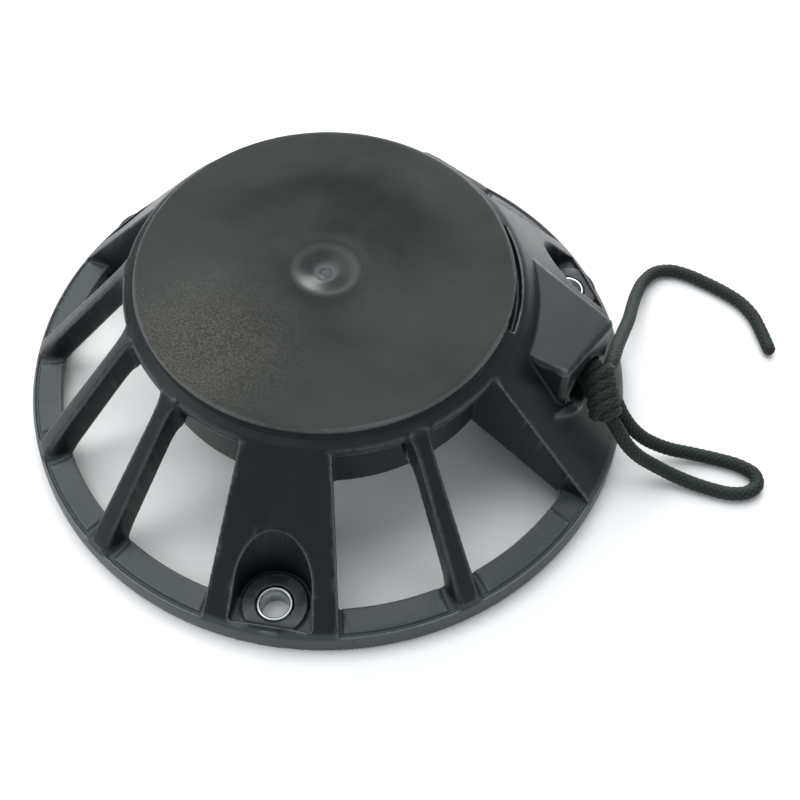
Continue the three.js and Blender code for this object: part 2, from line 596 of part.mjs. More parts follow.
function recoilSpring() {
  const STEPS_PER_TURN = 24;
  const inner = ARBOR_RADIUS + GAP + SPRING_THICKNESS;
  const outer = KEEPER_RADIUS - KEEPER_WALL - GAP - SPRING_THICKNESS;
  const steps = SPRING_TURNS * STEPS_PER_TURN;
  const face = (offset) => Array.from({ length: steps + 1 }, (_, i) => {
    const radius = inner + (outer - inner) * i / steps + offset;
    return polar(radius, 360 * i / STEPS_PER_TURN);
  });
  const tang = pairs([
    [inner - SPRING_THICKNESS / 2 - SPRING_TANG, SPRING_THICKNESS / 2],
    [inner - SPRING_THICKNESS / 2 - SPRING_TANG, -SPRING_THICKNESS / 2],
    [inner + SPRING_THICKNESS / 2, -SPRING_THICKNESS / 2],
  ]);
  const outline = [
    ...face(-SPRING_THICKNESS / 2).slice(1).reverse(),
    new THREE.Vector2(inner - SPRING_THICKNESS / 2, SPRING_THICKNESS / 2),
    ...tang,
    ...face(SPRING_THICKNESS / 2),
  ];
  return prism(outline, keeperBottom + KEEPER_WALL + GAP, KEEPER_TOP - 1);
}

add('recoil_spring', recoilSpring(), springSteel());

// Pawls: levers on the pulley's pegs. A pin under each one runs in the retainer's slot.

const pawlLine = (angle) => polar(1, -angle);

// The place of a pawl's pin when the pawl has swung outwards by an angle.
function pinPlace(swing) {
  const line = pawlLine(PAWL_REST_ANGLE - swing);
  return new THREE.Vector2(PAWL_PIVOT_RADIUS + PAWL_PIN_REACH * line.x, PAWL_PIN_REACH * line.y);
}

function pawl(azimuth) {
  const TIP_HALF = 2.6;
  const outline = new THREE.Shape();
  outline.absarc(0, 0, PAWL_BOSS_RADIUS - 0.4, Math.PI / 2, Math.PI * 1.5, false);
  outline.lineTo(PAWL_LENGTH - 2, -TIP_HALF);
  outline.lineTo(PAWL_LENGTH, -TIP_HALF + 1);
  outline.lineTo(PAWL_LENGTH, TIP_HALF);
  const lever = prism(outline, PAWL_BOTTOM, PAWL_TOP, 12)
    .add(bar(PAWL_PIN_REACH, 0, RETAINER_BOTTOM + GAP, PAWL_BOTTOM + 1, PAWL_PIN_RADIUS, 20))
    .subtract(bar(0, 0, PAWL_BOTTOM - 1, PAWL_TOP + 1, PAWL_PEG_RADIUS + GAP, 24));
  return lever.rotate([0, 0, -PAWL_REST_ANGLE]).translate([PAWL_PIVOT_RADIUS, 0, 0]).rotate([0, 0, azimuth]);
}

// A torsion spring round each peg, between the pulley and the pawl, that holds the pawl in.
function pawlSpring(azimuth) {
  const WIRE_RADIUS = 0.35;
  const COILS = 2.5;
  const coilRadius = PAWL_PEG_RADIUS + GAP + WIRE_RADIUS + 0.4;
  const low = PAWL_TOP + GAP + WIRE_RADIUS + 0.1;
  const high = PULLEY_BOTTOM + SPRING_POCKET_DEPTH - GAP - WIRE_RADIUS - 0.1;
  const steps = Math.round(COILS * 12);
  const points = Array.from({ length: steps + 1 }, (_, i) => {
    const at = polar(coilRadius, 360 * COILS * i / steps);
    return new THREE.Vector3(PAWL_PIVOT_RADIUS + at.x, at.y, low + (high - low) * i / steps);
  });
  return tube(new THREE.CatmullRomCurve3(points), WIRE_RADIUS, 3, steps).rotate([0, 0, azimuth]);
}

pawlAzimuths.forEach((azimuth, i) => {
  add(`pawl_${i + 1}`, pawl(azimuth), finish(0xd8d4c6, 0, 0.5));
  add(`pawl_spring_${i + 1}`, pawlSpring(azimuth), springSteel());
});

// Retainer: a steel plate with one cam slot for each pawl's pin. As it lags behind the pulley, the slots
// push the pins, and so the pawls, outwards. Each slot is cut along the pin's own way.

function retainer() {
  const STEPS = 12;
  let body = turned([
    [POST_RADIUS + GAP + 0.2, RETAINER_BOTTOM],
    [RETAINER_RADIUS, RETAINER_BOTTOM],
    [RETAINER_RADIUS, RETAINER_TOP],
    [POST_RADIUS + GAP + 0.2, RETAINER_TOP],
  ]);
  for (const azimuth of pawlAzimuths) {
    const holes = Array.from({ length: STEPS + 1 }, (_, i) => {
      const at = pinPlace(PAWL_SWING * i / STEPS).rotateAround(new THREE.Vector2(), -rad(RETAINER_LAG * i / STEPS));
      return bar(at.x, at.y, RETAINER_BOTTOM - 1, RETAINER_TOP + 1, PAWL_PIN_RADIUS + GAP, 20);
    });
    body = body.subtract(union(holes).rotate([0, 0, azimuth]));
  }
  return body;
}

add('retainer', retainer(), zincSteel());

// The stack on the post's end: thrust washer, brake spring, end washer and screw.

function washer(bottom, top, inner, outer, segments = 40) {
  return turned([[inner, bottom], [outer, bottom], [outer, top], [inner, top]], segments);
}

add('thrust_washer', washer(WASHER_BOTTOM, WASHER_BOTTOM + WASHER_THICKNESS, POST_RADIUS + GAP, PULLEY_HUB_RADIUS),
  springSteel());

function brakeSpring() {
  const COILS = 1.5;
  const coilRadius = POST_RADIUS + 2.6;
  const low = BRAKE_TOP - BRAKE_HEIGHT + GAP + BRAKE_WIRE_RADIUS;
  const high = BRAKE_TOP - GAP - BRAKE_WIRE_RADIUS;
  const steps = Math.round(COILS * 24);
  const points = Array.from({ length: steps + 1 }, (_, i) => {
    const at = polar(coilRadius, 360 * COILS * i / steps);
    return new THREE.Vector3(at.x, at.y, low + (high - low) * i / steps);
  });
  return tube(new THREE.CatmullRomCurve3(points), BRAKE_WIRE_RADIUS, 3, steps);
}

add('brake_spring', brakeSpring(), springSteel());

add('end_washer', washer(END_WASHER_TOP - END_WASHER_THICKNESS, END_WASHER_TOP, SCREW_RADIUS + GAP, POST_RADIUS + 5),
  zincSteel());

function centreScrew() {
  const FLANGE = 1.2;
  const HEAD = 3.6;
  const hexagon = Array.from({ length: 6 }, (_, i) => polar(SCREW_HEAD_FLATS / Math.sqrt(3), 60 * i));
  return bar(0, 0, SCREW_SEAT - 0.1, POST_END + SCREW_LENGTH, SCREW_RADIUS, 24)
    .add(bar(0, 0, SCREW_SEAT - FLANGE, SCREW_SEAT, SCREW_HEAD_FLATS * 0.72, 32))
    .add(prism(hexagon, SCREW_SEAT - FLANGE - HEAD, SCREW_SEAT - FLANGE + 0.1));
}

add('centre_screw', centreScrew(), zincSteel());

// Rope outside the outlet: a slip knot against the eyelet, its loop, and the free tail. They lie on the
// surface that the starter stands on.

const knotCentre = alongRope(KNOT_REACH);
add('rope_knot', solid(new THREE.SphereGeometry(KNOT_RADIUS, 20, 14)
  .translate(...knotCentre.toArray())), ropeNylon());

const ROPE_ON_FLOOR = ROPE_RADIUS + 0.1;
const loopRoute = [
  [88.8, -12.2, 27.6], [92.5, -13.9, 22], [96.4, -14.6, 16.5], [100.6, -14.6, 12], [105.2, -13.9, 8.2], [110.5, -13, 5],
  [117.6, -12.2, 2.9], [125.9, -12.6, ROPE_ON_FLOOR], [132.6, -13.8, ROPE_ON_FLOOR],
  [137.2, -16.2, ROPE_ON_FLOOR], [138, -19.8, ROPE_ON_FLOOR], [135, -23, ROPE_ON_FLOOR],
  [130, -24.2, ROPE_ON_FLOOR], [124, -23.7, ROPE_ON_FLOOR], [117.6, -22.6, 2.7], [111, -21.6, 4.4],
  [104.8, -21.4, 8], [99.4, -21.8, 12.6], [94.9, -21.6, 18], [90.6, -19.6, 23.8], [86.6, -16.6, 27.9],
];
const tailRoute = [
  [85.5, -7.2, 31.1], [87.3, -0.8, 30.2], [89, 8, 26.4], [91.3, 18, 20.5], [93.7, 28.5, 14.2], [95.3, 38, 9.4],
  [97, 46.6, 5.7], [99.4, 54, 3.4], [103.2, 59.4, 2.5], [108.4, 61.4, ROPE_ON_FLOOR],
  [114.6, 60.5, ROPE_ON_FLOOR], [121, 58, ROPE_ON_FLOOR], [127.3, 55, ROPE_ON_FLOOR],
  [132.8, 51.4, ROPE_ON_FLOOR], [137, 46.4, ROPE_ON_FLOOR], [140, 39.6, ROPE_ON_FLOOR],
  [143, 31.3, ROPE_ON_FLOOR],
];
// The routes were laid for this place of the knot and this reach of the ring and the rope beside it. They
// follow the knot near it, keep their distance from the ring beyond it, and start clear of the knot's side.
const LAID_KNOT = new THREE.Vector3(84.107, -12.5, 30.5);
const LAID_REACH = 97.2;
const KNOT_FREE_LENGTH = 25;
const KNOT_SIDE_CLEARANCE = 0.9;
const knotShift = knotCentre.clone().sub(LAID_KNOT).setZ(0);
const spread = RING_RADIUS + ROPE_RADIUS - LAID_REACH;
const drop = (knotCentre.z - ROPE_ON_FLOOR) / (LAID_KNOT.z - ROPE_ON_FLOOR);

function routePlace([x, y, z], index, route) {
  const laid = new THREE.Vector3(x, y, z);
  const share = Math.min(1, laid.distanceTo(LAID_KNOT) / KNOT_FREE_LENGTH);
  const outward = new THREE.Vector3(x, y, 0).setLength(1).multiplyScalar(spread);
  const place = laid.clone().addScaledVector(knotShift, 1 - share).addScaledVector(outward, share);
  place.z = ROPE_ON_FLOOR + (z - ROPE_ON_FLOOR) * drop;
  const atKnot = laid.distanceTo(LAID_KNOT) < KNOT_RADIUS + 2 * KNOT_SIDE_CLEARANCE;
  const isEnd = index === 0 || index === route.length - 1;
  if (!(atKnot && isEnd)) return place;
  return place.sub(knotCentre).setLength(KNOT_RADIUS + KNOT_SIDE_CLEARANCE).add(knotCentre);
}

const routeCurve = (route) => new THREE.CatmullRomCurve3(route.map(routePlace));
add('rope_loop', tube(routeCurve(loopRoute), ROPE_RADIUS, 4, 26), ropeNylon());
add('rope_tail', tube(routeCurve(tailRoute), ROPE_RADIUS, 4, 24), ropeNylon());

export default part;
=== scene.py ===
import math

import bmesh
import bpy
import numpy as np
from mathutils import Matrix, Vector


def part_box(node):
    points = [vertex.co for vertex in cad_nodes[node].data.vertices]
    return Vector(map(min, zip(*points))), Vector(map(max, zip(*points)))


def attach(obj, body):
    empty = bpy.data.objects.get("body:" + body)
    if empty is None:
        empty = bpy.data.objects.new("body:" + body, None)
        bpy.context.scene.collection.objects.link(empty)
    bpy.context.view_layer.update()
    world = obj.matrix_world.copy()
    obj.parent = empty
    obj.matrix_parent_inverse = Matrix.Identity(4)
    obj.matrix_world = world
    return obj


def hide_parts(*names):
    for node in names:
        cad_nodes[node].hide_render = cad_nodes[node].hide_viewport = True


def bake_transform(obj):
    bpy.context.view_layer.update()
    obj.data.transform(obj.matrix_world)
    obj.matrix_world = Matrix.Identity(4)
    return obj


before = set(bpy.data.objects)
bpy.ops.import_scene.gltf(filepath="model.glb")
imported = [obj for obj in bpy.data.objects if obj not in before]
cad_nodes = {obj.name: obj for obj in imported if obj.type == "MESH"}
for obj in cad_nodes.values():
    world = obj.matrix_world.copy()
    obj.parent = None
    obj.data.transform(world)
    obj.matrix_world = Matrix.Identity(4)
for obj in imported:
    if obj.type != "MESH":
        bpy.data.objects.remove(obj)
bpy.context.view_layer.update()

# The view: a long lens looking down at the disc from the side of the first bolt pad, held with a slight tilt.

VIEW_AZIMUTH, VIEW_ELEVATION, VIEW_TILT = 7.05, 57.16, 2.19
VIEW_DISTANCE = 0.4035
VIEW_TARGET = Vector((0.02278, 0.00282, -0.01365))

azimuth, elevation, tilt = map(math.radians, (VIEW_AZIMUTH, VIEW_ELEVATION, VIEW_TILT))
view_back = Vector((
    math.sin(azimuth) * math.cos(elevation),
    -math.cos(azimuth) * math.cos(elevation),
    math.sin(elevation),
))
view_right = Vector((math.cos(azimuth), math.sin(azimuth), 0))
view_up = view_back.cross(view_right)
tilted_right = view_right * math.cos(tilt) + view_up * math.sin(tilt)
tilted_up = view_up * math.cos(tilt) - view_right * math.sin(tilt)
camera = bpy.data.objects.new("camera", bpy.data.cameras.new("camera"))
bpy.context.scene.collection.objects.link(camera)
camera.data.sensor_width = 36
camera.data.lens = 53.73
camera.data.clip_start = 0.01
camera.matrix_world = Matrix.Translation(VIEW_TARGET + view_back * VIEW_DISTANCE) @ Matrix(
    (tilted_right, tilted_up, view_back)).transposed().to_4x4()
bpy.context.scene.camera = camera

# The starter cord: braided polyester, 4.4 mm, dark green-black. It leaves the outlet straight, is tied in a
# slip knot, makes a loop that lies on the ground, and ends in a free tail whose end is sealed by heat.

MM = 0.001
ROPE_RADIUS = 2.2
ROPE_HEIGHT = 30.5
ROPE_AZIMUTH = -39.3
WINDING_RADIUS = 43.6
rope_way = Vector((math.cos(math.radians(ROPE_AZIMUTH)), math.sin(math.radians(ROPE_AZIMUTH)), 0))
tangent_point = Vector((-rope_way.y * WINDING_RADIUS, rope_way.x * WINDING_RADIUS, ROPE_HEIGHT))


def along_rope(reach):
    """A point on the cord's straight run, in mm, by its distance from where the cord leaves the coil."""
    return tangent_point + rope_way * reach


OUTLET_FACE = 66.8
KNOT_REACH = 73.0
ROPE_ON_FLOOR = 2.3
knot_centre = along_rope(KNOT_REACH)
LOOP_ROUTE = [
    (88.8, -12.2, 27.6), (92.5, -13.9, 22), (96.4, -14.6, 16.5), (100.6, -14.6, 12), (105.2, -13.9, 8.2),
    (110.5, -13, 5), (117.6, -12.2, 2.9), (125.9, -12.6, ROPE_ON_FLOOR), (132.6, -13.8, ROPE_ON_FLOOR),
    (137.2, -16.2, ROPE_ON_FLOOR), (138, -19.8, ROPE_ON_FLOOR), (135, -23, ROPE_ON_FLOOR),
    (130, -24.2, ROPE_ON_FLOOR), (124, -23.7, ROPE_ON_FLOOR), (117.6, -22.6, 2.7), (111, -21.6, 4.4),
    (104.8, -21.4, 8), (99.4, -21.8, 12.6), (94.9, -21.6, 18), (90.6, -19.6, 23.8), (86.6, -16.6, 27.9),
]
TAIL_ROUTE = [
    (85.5, -7.2, 31.1), (87.3, -0.8, 30.2), (89, 8, 26.4), (91.3, 18, 20.5), (93.7, 28.5, 14.2),
    (95.3, 38, 9.4), (97, 46.6, 5.7), (99.4, 54, 3.4), (103.2, 59.4, 2.5), (108.4, 61.4, ROPE_ON_FLOOR),
    (114.6, 60.5, ROPE_ON_FLOOR), (121, 58, ROPE_ON_FLOOR), (127.3, 55, ROPE_ON_FLOOR),
    (132.8, 51.4, ROPE_ON_FLOOR), (137, 46.4, ROPE_ON_FLOOR), (140, 39.6, ROPE_ON_FLOOR),
    (143, 31.3, ROPE_ON_FLOOR),
]


def smooth_line(points, step):
    """A smooth curve through the points, as points a step apart."""
    p = np.array([tuple(q) for q in points], float)
    p = np.vstack([2 * p[0] - p[1], p, 2 * p[-1] - p[-2]])
    found = []
    for a, b, c, d in zip(p, p[1:], p[2:], p[3:]):
        ab, bc, cd = (max(np.linalg.norm(y - x), 1e-6) ** 0.5 for x, y in ((a, b), (b, c), (c, d)))
        m1 = (c - b + bc * ((b - a) / ab - (c - a) / (ab + bc)))
        m2 = (c - b + bc * ((d - c) / cd - (d - b) / (bc + cd)))
        for t in np.linspace(0, 1, 40, endpoint=False):
            found.append((2 * t**3 - 3 * t**2 + 1) * b + (t**3 - 2 * t**2 + t) * m1
                         + (3 * t**2 - 2 * t**3) * c + (t**3 - t**2) * m2)
    found.append(p[-2])
    line = np.array(found)
    run = np.concatenate([[0], np.cumsum(np.linalg.norm(np.diff(line, axis=0), axis=1))])
    at = np.linspace(0, run[-1], max(2, round(run[-1] / step) + 1))
    return np.stack([np.interp(at, run, line[:, k]) for k in range(3)], axis=1)


def mesh_piece(name, points, faces, smooth=True):
    """A mesh from points in mm, linked to the scene in metres."""
    mesh = bpy.data.meshes.new(name)
    mesh.from_pydata((np.array(points, float) * MM).tolist(), [], [tuple(f) for f in faces])
    mesh.polygons.foreach_set("use_smooth", [smooth] * len(mesh.polygons))
    mesh.update()
    made = bpy.data.objects.new(name, mesh)
    bpy.context.scene.collection.objects.link(made)
    return made


def tube_sides(rings, sides):
    """The four-sided faces between one ring of points and the next, ring after ring."""
    return [(i * sides + j, i * sides + (j + 1) % sides, (i + 1) * sides + (j + 1) % sides,
             (i + 1) * sides + j)
            for i in range(rings - 1) for j in range(sides)]


BRAID_CARRIERS = 8  # strands that run each way round the cord
BRAID_PICK = 2.05  # length of one crossing along the cord
BRAID_RELIEF = 0.36


def braided_tube(name, line, radius, sides=32, rounded=()):
    """A cord along a line: strands that cross over and under each other, as real relief in the surface."""
    step = np.gradient(line, axis=0)
    step /= np.linalg.norm(step, axis=1)[:, None]
    side = np.cross(step[0], (0, 0, 1.0))
    side /= np.linalg.norm(side)
    sides_along = [side]
    for way in step[1:]:
        side = side - way * side.dot(way)
        side = side / np.linalg.norm(side)
        sides_along.append(side)
    across = np.array(sides_along)
    other = np.cross(step, across)
    run = np.concatenate([[0], np.cumsum(np.linalg.norm(np.diff(line, axis=0), axis=1))])
    turn = np.linspace(0, 2 * np.pi, sides, endpoint=False)
    u = BRAID_CARRIERS * turn[None, :] / (2 * np.pi) + run[:, None] / BRAID_PICK
    v = BRAID_CARRIERS * turn[None, :] / (2 * np.pi) - run[:, None] / BRAID_PICK
    over = (np.floor(u) + np.floor(v)) % 2 == 0
    crown = np.where(over, np.sin(np.pi * (v % 1)), np.sin(np.pi * (u % 1)))
    ends = np.where(over, np.sin(np.pi * (u % 1)), np.sin(np.pi * (v % 1)))
    height = np.sqrt(np.clip(crown, 0, 1)) * (0.55 + 0.45 * ends)
    size = np.full(len(line), radius)
    for end in rounded:
        away = run if end == 0 else run[-1] - run
        size *= np.sqrt(1 - np.clip(1 - away / radius, 0, 0.96) ** 2)
    reach = size[:, None] - BRAID_RELIEF * (1 - height) * (size / radius)[:, None]
    points = (line[:, None, :] + reach[..., None] * (np.cos(turn)[None, :, None] * across[:, None, :]
              + np.sin(turn)[None, :, None] * other[:, None, :])).reshape(-1, 3)
    rings = len(line)
    faces = tube_sides(rings, sides)
    faces += [tuple(range(sides))[::-1], tuple(range((rings - 1) * sides, rings * sides))]
    made = mesh_piece(name, points, faces)
    relief = made.data.attributes.new("relief", "FLOAT", "POINT")
    relief.data.foreach_set("value", height.reshape(-1).astype(np.float32))
    return made


def linear(hex_colour, alpha=1.0):
    """An sRGB hex colour as the linear values that a shader takes."""
    channels = [int(hex_colour[i:i + 2], 16) / 255 for i in (0, 2, 4)]
    return [c / 12.92 if c <= 0.04045 else ((c + 0.055) / 1.055) ** 2.4 for c in channels] + [alpha]


def add_node(material, kind, inputs=None, **settings):
    """Adds a node with its settings. An input is a value or another node's output."""
    made = material.node_tree.nodes.new(kind)
    for name, value in settings.items():
        setattr(made, name, value)
    for socket, value in (inputs or {}).items():
        if isinstance(value, bpy.types.NodeSocket):
            material.node_tree.links.new(value, made.inputs[socket])
        else:
            made.inputs[socket].default_value = value
    return made


def new_material(name, **shader_values):
    """A material with one Principled shader, whose sockets are named with underscores."""
    made = bpy.data.materials.new(name)
    made.use_nodes = True
    made.node_tree.nodes.clear()
    shader = add_node(made, "ShaderNodeBsdfPrincipled",
                      {key.replace("_", " "): value for key, value in shader_values.items()})
    add_node(made, "ShaderNodeOutputMaterial", {"Surface": shader.outputs["BSDF"]})
    return made, shader


# Dyed polyester braid: matt strands with a faint sheen from their filaments, and painted shade, near
# black, in the gaps between them.
braid_dyed_polyester, shader = new_material("braid_dyed_polyester", Roughness=0.72, Specular_IOR_Level=0.35,
                                            Sheen_Weight=0.15, Sheen_Roughness=0.4)
shader.inputs["Sheen Tint"].default_value = linear("7a9890")
relief = add_node(braid_dyed_polyester, "ShaderNodeAttribute", attribute_name="relief")
place = add_node(braid_dyed_polyester, "ShaderNodeTexCoord")
filaments = add_node(braid_dyed_polyester, "ShaderNodeTexNoise",
                     {"Vector": place.outputs["Object"], "Scale": 2600.0, "Detail": 3.0})
strand_share = add_node(braid_dyed_polyester, "ShaderNodeMapRange", {
    "Value": relief.outputs["Fac"], "From Min": 0.25, "From Max": 0.95})
strand_colour = add_node(braid_dyed_polyester, "ShaderNodeMix", {
    0: filaments.outputs["Fac"], 6: linear("0c1514"), 7: linear("303f3b")}, data_type="RGBA")
# Painted shade: the colour goes near black where the relief is low, in the gaps between strands.
braid_colour_with_gap_shade = add_node(braid_dyed_polyester, "ShaderNodeMix", {
    0: strand_share.outputs["Result"], 6: linear("030606"), 7: strand_colour.outputs[2]}, data_type="RGBA")
fibre_bump = add_node(braid_dyed_polyester, "ShaderNodeBump", {
    "Height": filaments.outputs["Fac"], "Strength": 0.5, "Distance": 0.00012})
braid_dyed_polyester.node_tree.links.new(braid_colour_with_gap_shade.outputs[2], shader.inputs["Base Color"])
braid_dyed_polyester.node_tree.links.new(fibre_bump.outputs["Normal"], shader.inputs["Normal"])

ROPE_START = OUTLET_FACE - 0.6  # where the free cord takes over from the run inside the housing
free_route = [along_rope(ROPE_START), along_rope(ROPE_START + 3), knot_centre, *LOOP_ROUTE,
              knot_centre + Vector((0.4, -1.2, 0.4)), *TAIL_ROUTE]
free_line = smooth_line(free_route, 0.25)
free_cord = braided_tube("rope_free", free_line, ROPE_RADIUS, rounded=(1,))
free_cord.data.materials.append(braid_dyed_polyester)
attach(free_cord, "rope_end")
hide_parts("rope_loop", "rope_tail")

# The slip knot's wraps: the cord's own turns drawn tight round the loop's two ends and the standing part.

knot_axis = Vector((-0.327, 0.753, 0.571)).normalized()
knot_outward = Vector((0.067, -0.538, 0.840))  # away from the housing's wall, where the wraps are seen
knot_side = knot_axis.cross(knot_outward).normalized()
knot_front = knot_side.cross(knot_axis)
knot_middle = knot_centre + knot_axis * 0.5 + rope_way * 1.2
WRAP_TURNS = 5.3
WRAP_LENGTH = 20.0
WRAP_RADIUS = 3.15
WRAP_CORD_RADIUS = 2.1
WRAP_STEPS = 180
wrap_line = []
for i in range(WRAP_STEPS + 1):
    share = i / WRAP_STEPS
    turn = share * WRAP_TURNS * 2 * math.pi + 0.9
    tuck = 1 - 0.6 * max(0.0, abs(share - 0.5) - 0.4) / 0.1
    slope = 1.1 * math.sin(turn + 0.6)
    wrap_line.append(knot_middle + knot_axis * ((0.5 - share) * (WRAP_LENGTH - 4) + slope)
                     + (knot_side * math.cos(turn) + knot_front * math.sin(turn)) * WRAP_RADIUS * tuck)
knot_wraps = braided_tube("rope_knot_wraps", smooth_line(wrap_line, 0.25), WRAP_CORD_RADIUS,
                          rounded=(0, 1))
knot_wraps.data.materials.append(braid_dyed_polyester)
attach(knot_wraps, "rope_end")
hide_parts("rope_knot")

# The same cord inside: the straight run from the coil through the eyelet, which is paid out as the cord is
# pulled.

RUN_START = 17.0
RUN_LENGTH = ROPE_START + 0.4 - RUN_START
RUN_STEPS = 12
run_points = [along_rope(RUN_START + i * RUN_LENGTH / RUN_STEPS) for i in range(RUN_STEPS + 1)]
run_line = smooth_line(run_points, 0.25)
rope_run = braided_tube("rope_run", run_line, ROPE_RADIUS - 0.02)
rope_run.data.materials.append(braid_dyed_polyester)
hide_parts("rope_lead")
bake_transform(rope_run)

# The cord wound on the pulley: one flat spiral, each turn pressed into the one before.

COIL_TURNS = 4.75
COIL_INNER, COIL_OUTER = 26.6, 43.5
STEPS_A_TURN = 60
spiral = []
for i in range(int(COIL_TURNS * STEPS_A_TURN) + 1):
    share = i / (COIL_TURNS * STEPS_A_TURN)
    turn = math.radians(ROPE_AZIMUTH + 90) - (1 - share) * COIL_TURNS * 2 * math.pi
    radius = COIL_INNER + (COIL_OUTER - COIL_INNER) * share
    spiral.append((radius * math.cos(turn), radius * math.sin(turn), ROPE_HEIGHT))
wound_cord = braided_tube("rope_wound", smooth_line(spiral, 0.6), ROPE_RADIUS - 0.15, sides=16)
wound_cord.data.materials.append(braid_dyed_polyester)
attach(wound_cord, "pulley")
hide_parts("rope_coil")

# The overhand knot that stops the cord's inner end in the pulley's pocket.

anchor_low, anchor_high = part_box("rope_anchor_knot")
anchor_centre = Vector((0, anchor_low.y + 0.0041, (anchor_low.z + anchor_high.z) / 2)) / MM
anchor_line = []
for i in range(120):
    t = i / 119 * 2 * math.pi * 0.97
    anchor_line.append(anchor_centre + Vector((
        (math.sin(t) + 2 * math.sin(2 * t)) * 0.82,
        (math.cos(t) - 2 * math.cos(2 * t)) * 0.82,
        -math.sin(3 * t) * 1.5,
    )))
anchor_knot = braided_tube("rope_anchor", smooth_line(anchor_line, 0.3), 1.3, sides=18, rounded=(0, 1))
anchor_knot.data.materials.append(braid_dyed_polyester)
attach(anchor_knot, "pulley")
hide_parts("rope_anchor_knot")

# The housing: one moulding in glass-filled black nylon. A drum with a raised disc and a ledge, a flat ring
# with three bolt pads and seven deep spokes that climb to the ledge, and the boxed outlet for the cord.

BODY_HEIGHT = 55.0
DISC_RADIUS = 55.0
LEDGE_HEIGHT = 51.5
LEDGE_RADIUS = 59.0
DRUM_RADIUS = 54.4
CAVITY_RADIUS = 50.8
DRUM_RIM = 26.0
CEILING = 51.8
RING_RADIUS = 95.0
WINDOW_RADIUS = 85.3
BOLT_CIRCLE = 85.0
PAD_AZIMUTHS = (-90, 30, 150)
PAD_HALF_ANGLE = 12.2
SPOKE_AZIMUTHS = (-54, -126, -150, -174, 66, 90, 114)
ARBOR_RADIUS = 9.0
POST_RADIUS = 7.0
POST_STEP = 37.3
POST_END = 16.1


def cone_height(radius):
    """Height of the cone that the spokes and pads share, from the ledge's edge to the ring's lip."""
    return LEDGE_HEIGHT - (radius - LEDGE_RADIUS) * (LEDGE_HEIGHT - 7) / (94.5 - LEDGE_RADIUS)


def polar(radius, degrees):
    """A point in plan from its radius and azimuth."""
    return (radius * math.cos(math.radians(degrees)), radius * math.sin(math.radians(degrees)))


def clean(piece):
    """Merges shared points, drops slivers and turns every face outwards."""
    b = bmesh.new()
    b.from_mesh(piece.data)
    bmesh.ops.remove_doubles(b, verts=b.verts, dist=1e-7)
    bmesh.ops.dissolve_degenerate(b, dist=1e-8, edges=b.edges)
    bmesh.ops.recalc_face_normals(b, faces=b.faces)
    b.to_mesh(piece.data)
    b.free()
    return piece


def turned(profile, segments=256, start=0.0, sweep=360.0):
    """A closed profile of (radius, height) turned about the pulley's axis, right round or in part."""
    whole = sweep >= 360
    count = segments if whole else max(2, round(segments * sweep / 360)) + 1
    points, faces, n = [], [], len(profile)
    for i in range(count):
        a = start + sweep * i / (segments if whole else count - 1)
        points += [(*polar(r, a), z) for r, z in profile]
    for i in range(count if whole else count - 1):
        j = (i + 1) % count
        faces += [(i * n + k, j * n + k, j * n + (k + 1) % n, i * n + (k + 1) % n) for k in range(n)]
    if not whole:
        faces += [tuple(range(n)), tuple(range((count - 1) * n, count * n))[::-1]]
    return clean(mesh_piece("part", points, faces))


def prism(outline, low, high):
    """An outline in plan, between two heights."""
    n = len(outline)
    points = [(x, y, low) for x, y in outline] + [(x, y, high) for x, y in outline]
    faces = [tuple(range(n))[::-1], tuple(range(n, 2 * n))]
    faces += [(i, (i + 1) % n, n + (i + 1) % n, n + i) for i in range(n)]
    return clean(mesh_piece("part", points, faces))


def rod(start, end, radius, sides=64):
    """A round bar between two points."""
    start, end = Vector(start), Vector(end)
    way = (end - start).normalized()
    across = way.orthogonal().normalized()
    other = way.cross(across)
    ring = [across * math.cos(2 * math.pi * i / sides) + other * math.sin(2 * math.pi * i / sides)
            for i in range(sides)]
    points = [start + r * radius for r in ring] + [end + r * radius for r in ring]
    faces = [tuple(range(sides)), tuple(range(sides, 2 * sides))[::-1]]
    faces += [(i, (i + 1) % sides, sides + (i + 1) % sides, sides + i) for i in range(sides)]
    return clean(mesh_piece("part", [tuple(p) for p in points], faces))


def combine(target, tool, operation):
    """Adds one solid to another, cuts it away, or keeps what they share. The tool is used up."""
    step = target.modifiers.new("combine", "BOOLEAN")
    step.operation, step.object, step.solver = operation, tool, "MANIFOLD"
    depsgraph = bpy.context.evaluated_depsgraph_get()
    mesh = bpy.data.meshes.new_from_object(target.evaluated_get(depsgraph))
    target.modifiers.remove(step)
    old = target.data
    target.data = mesh
    bpy.data.meshes.remove(old)
    bpy.data.objects.remove(tool)
    return target


def wedge(from_azimuth, to_azimuth, inset=0.0, reach=125.0):
    """A plan sector as a tall block, with its straight sides moved in by an inset."""
    middle = (from_azimuth + to_azimuth) / 2
    half = math.radians((to_azimuth - from_azimuth) / 2)
    tip = polar(inset / math.sin(half), middle)
    outline = [tip] + [(tip[0] + polar(reach, a)[0], tip[1] + polar(reach, a)[1])
                       for a in (from_azimuth, middle, to_azimuth)]
    return prism(outline, -5, 60)


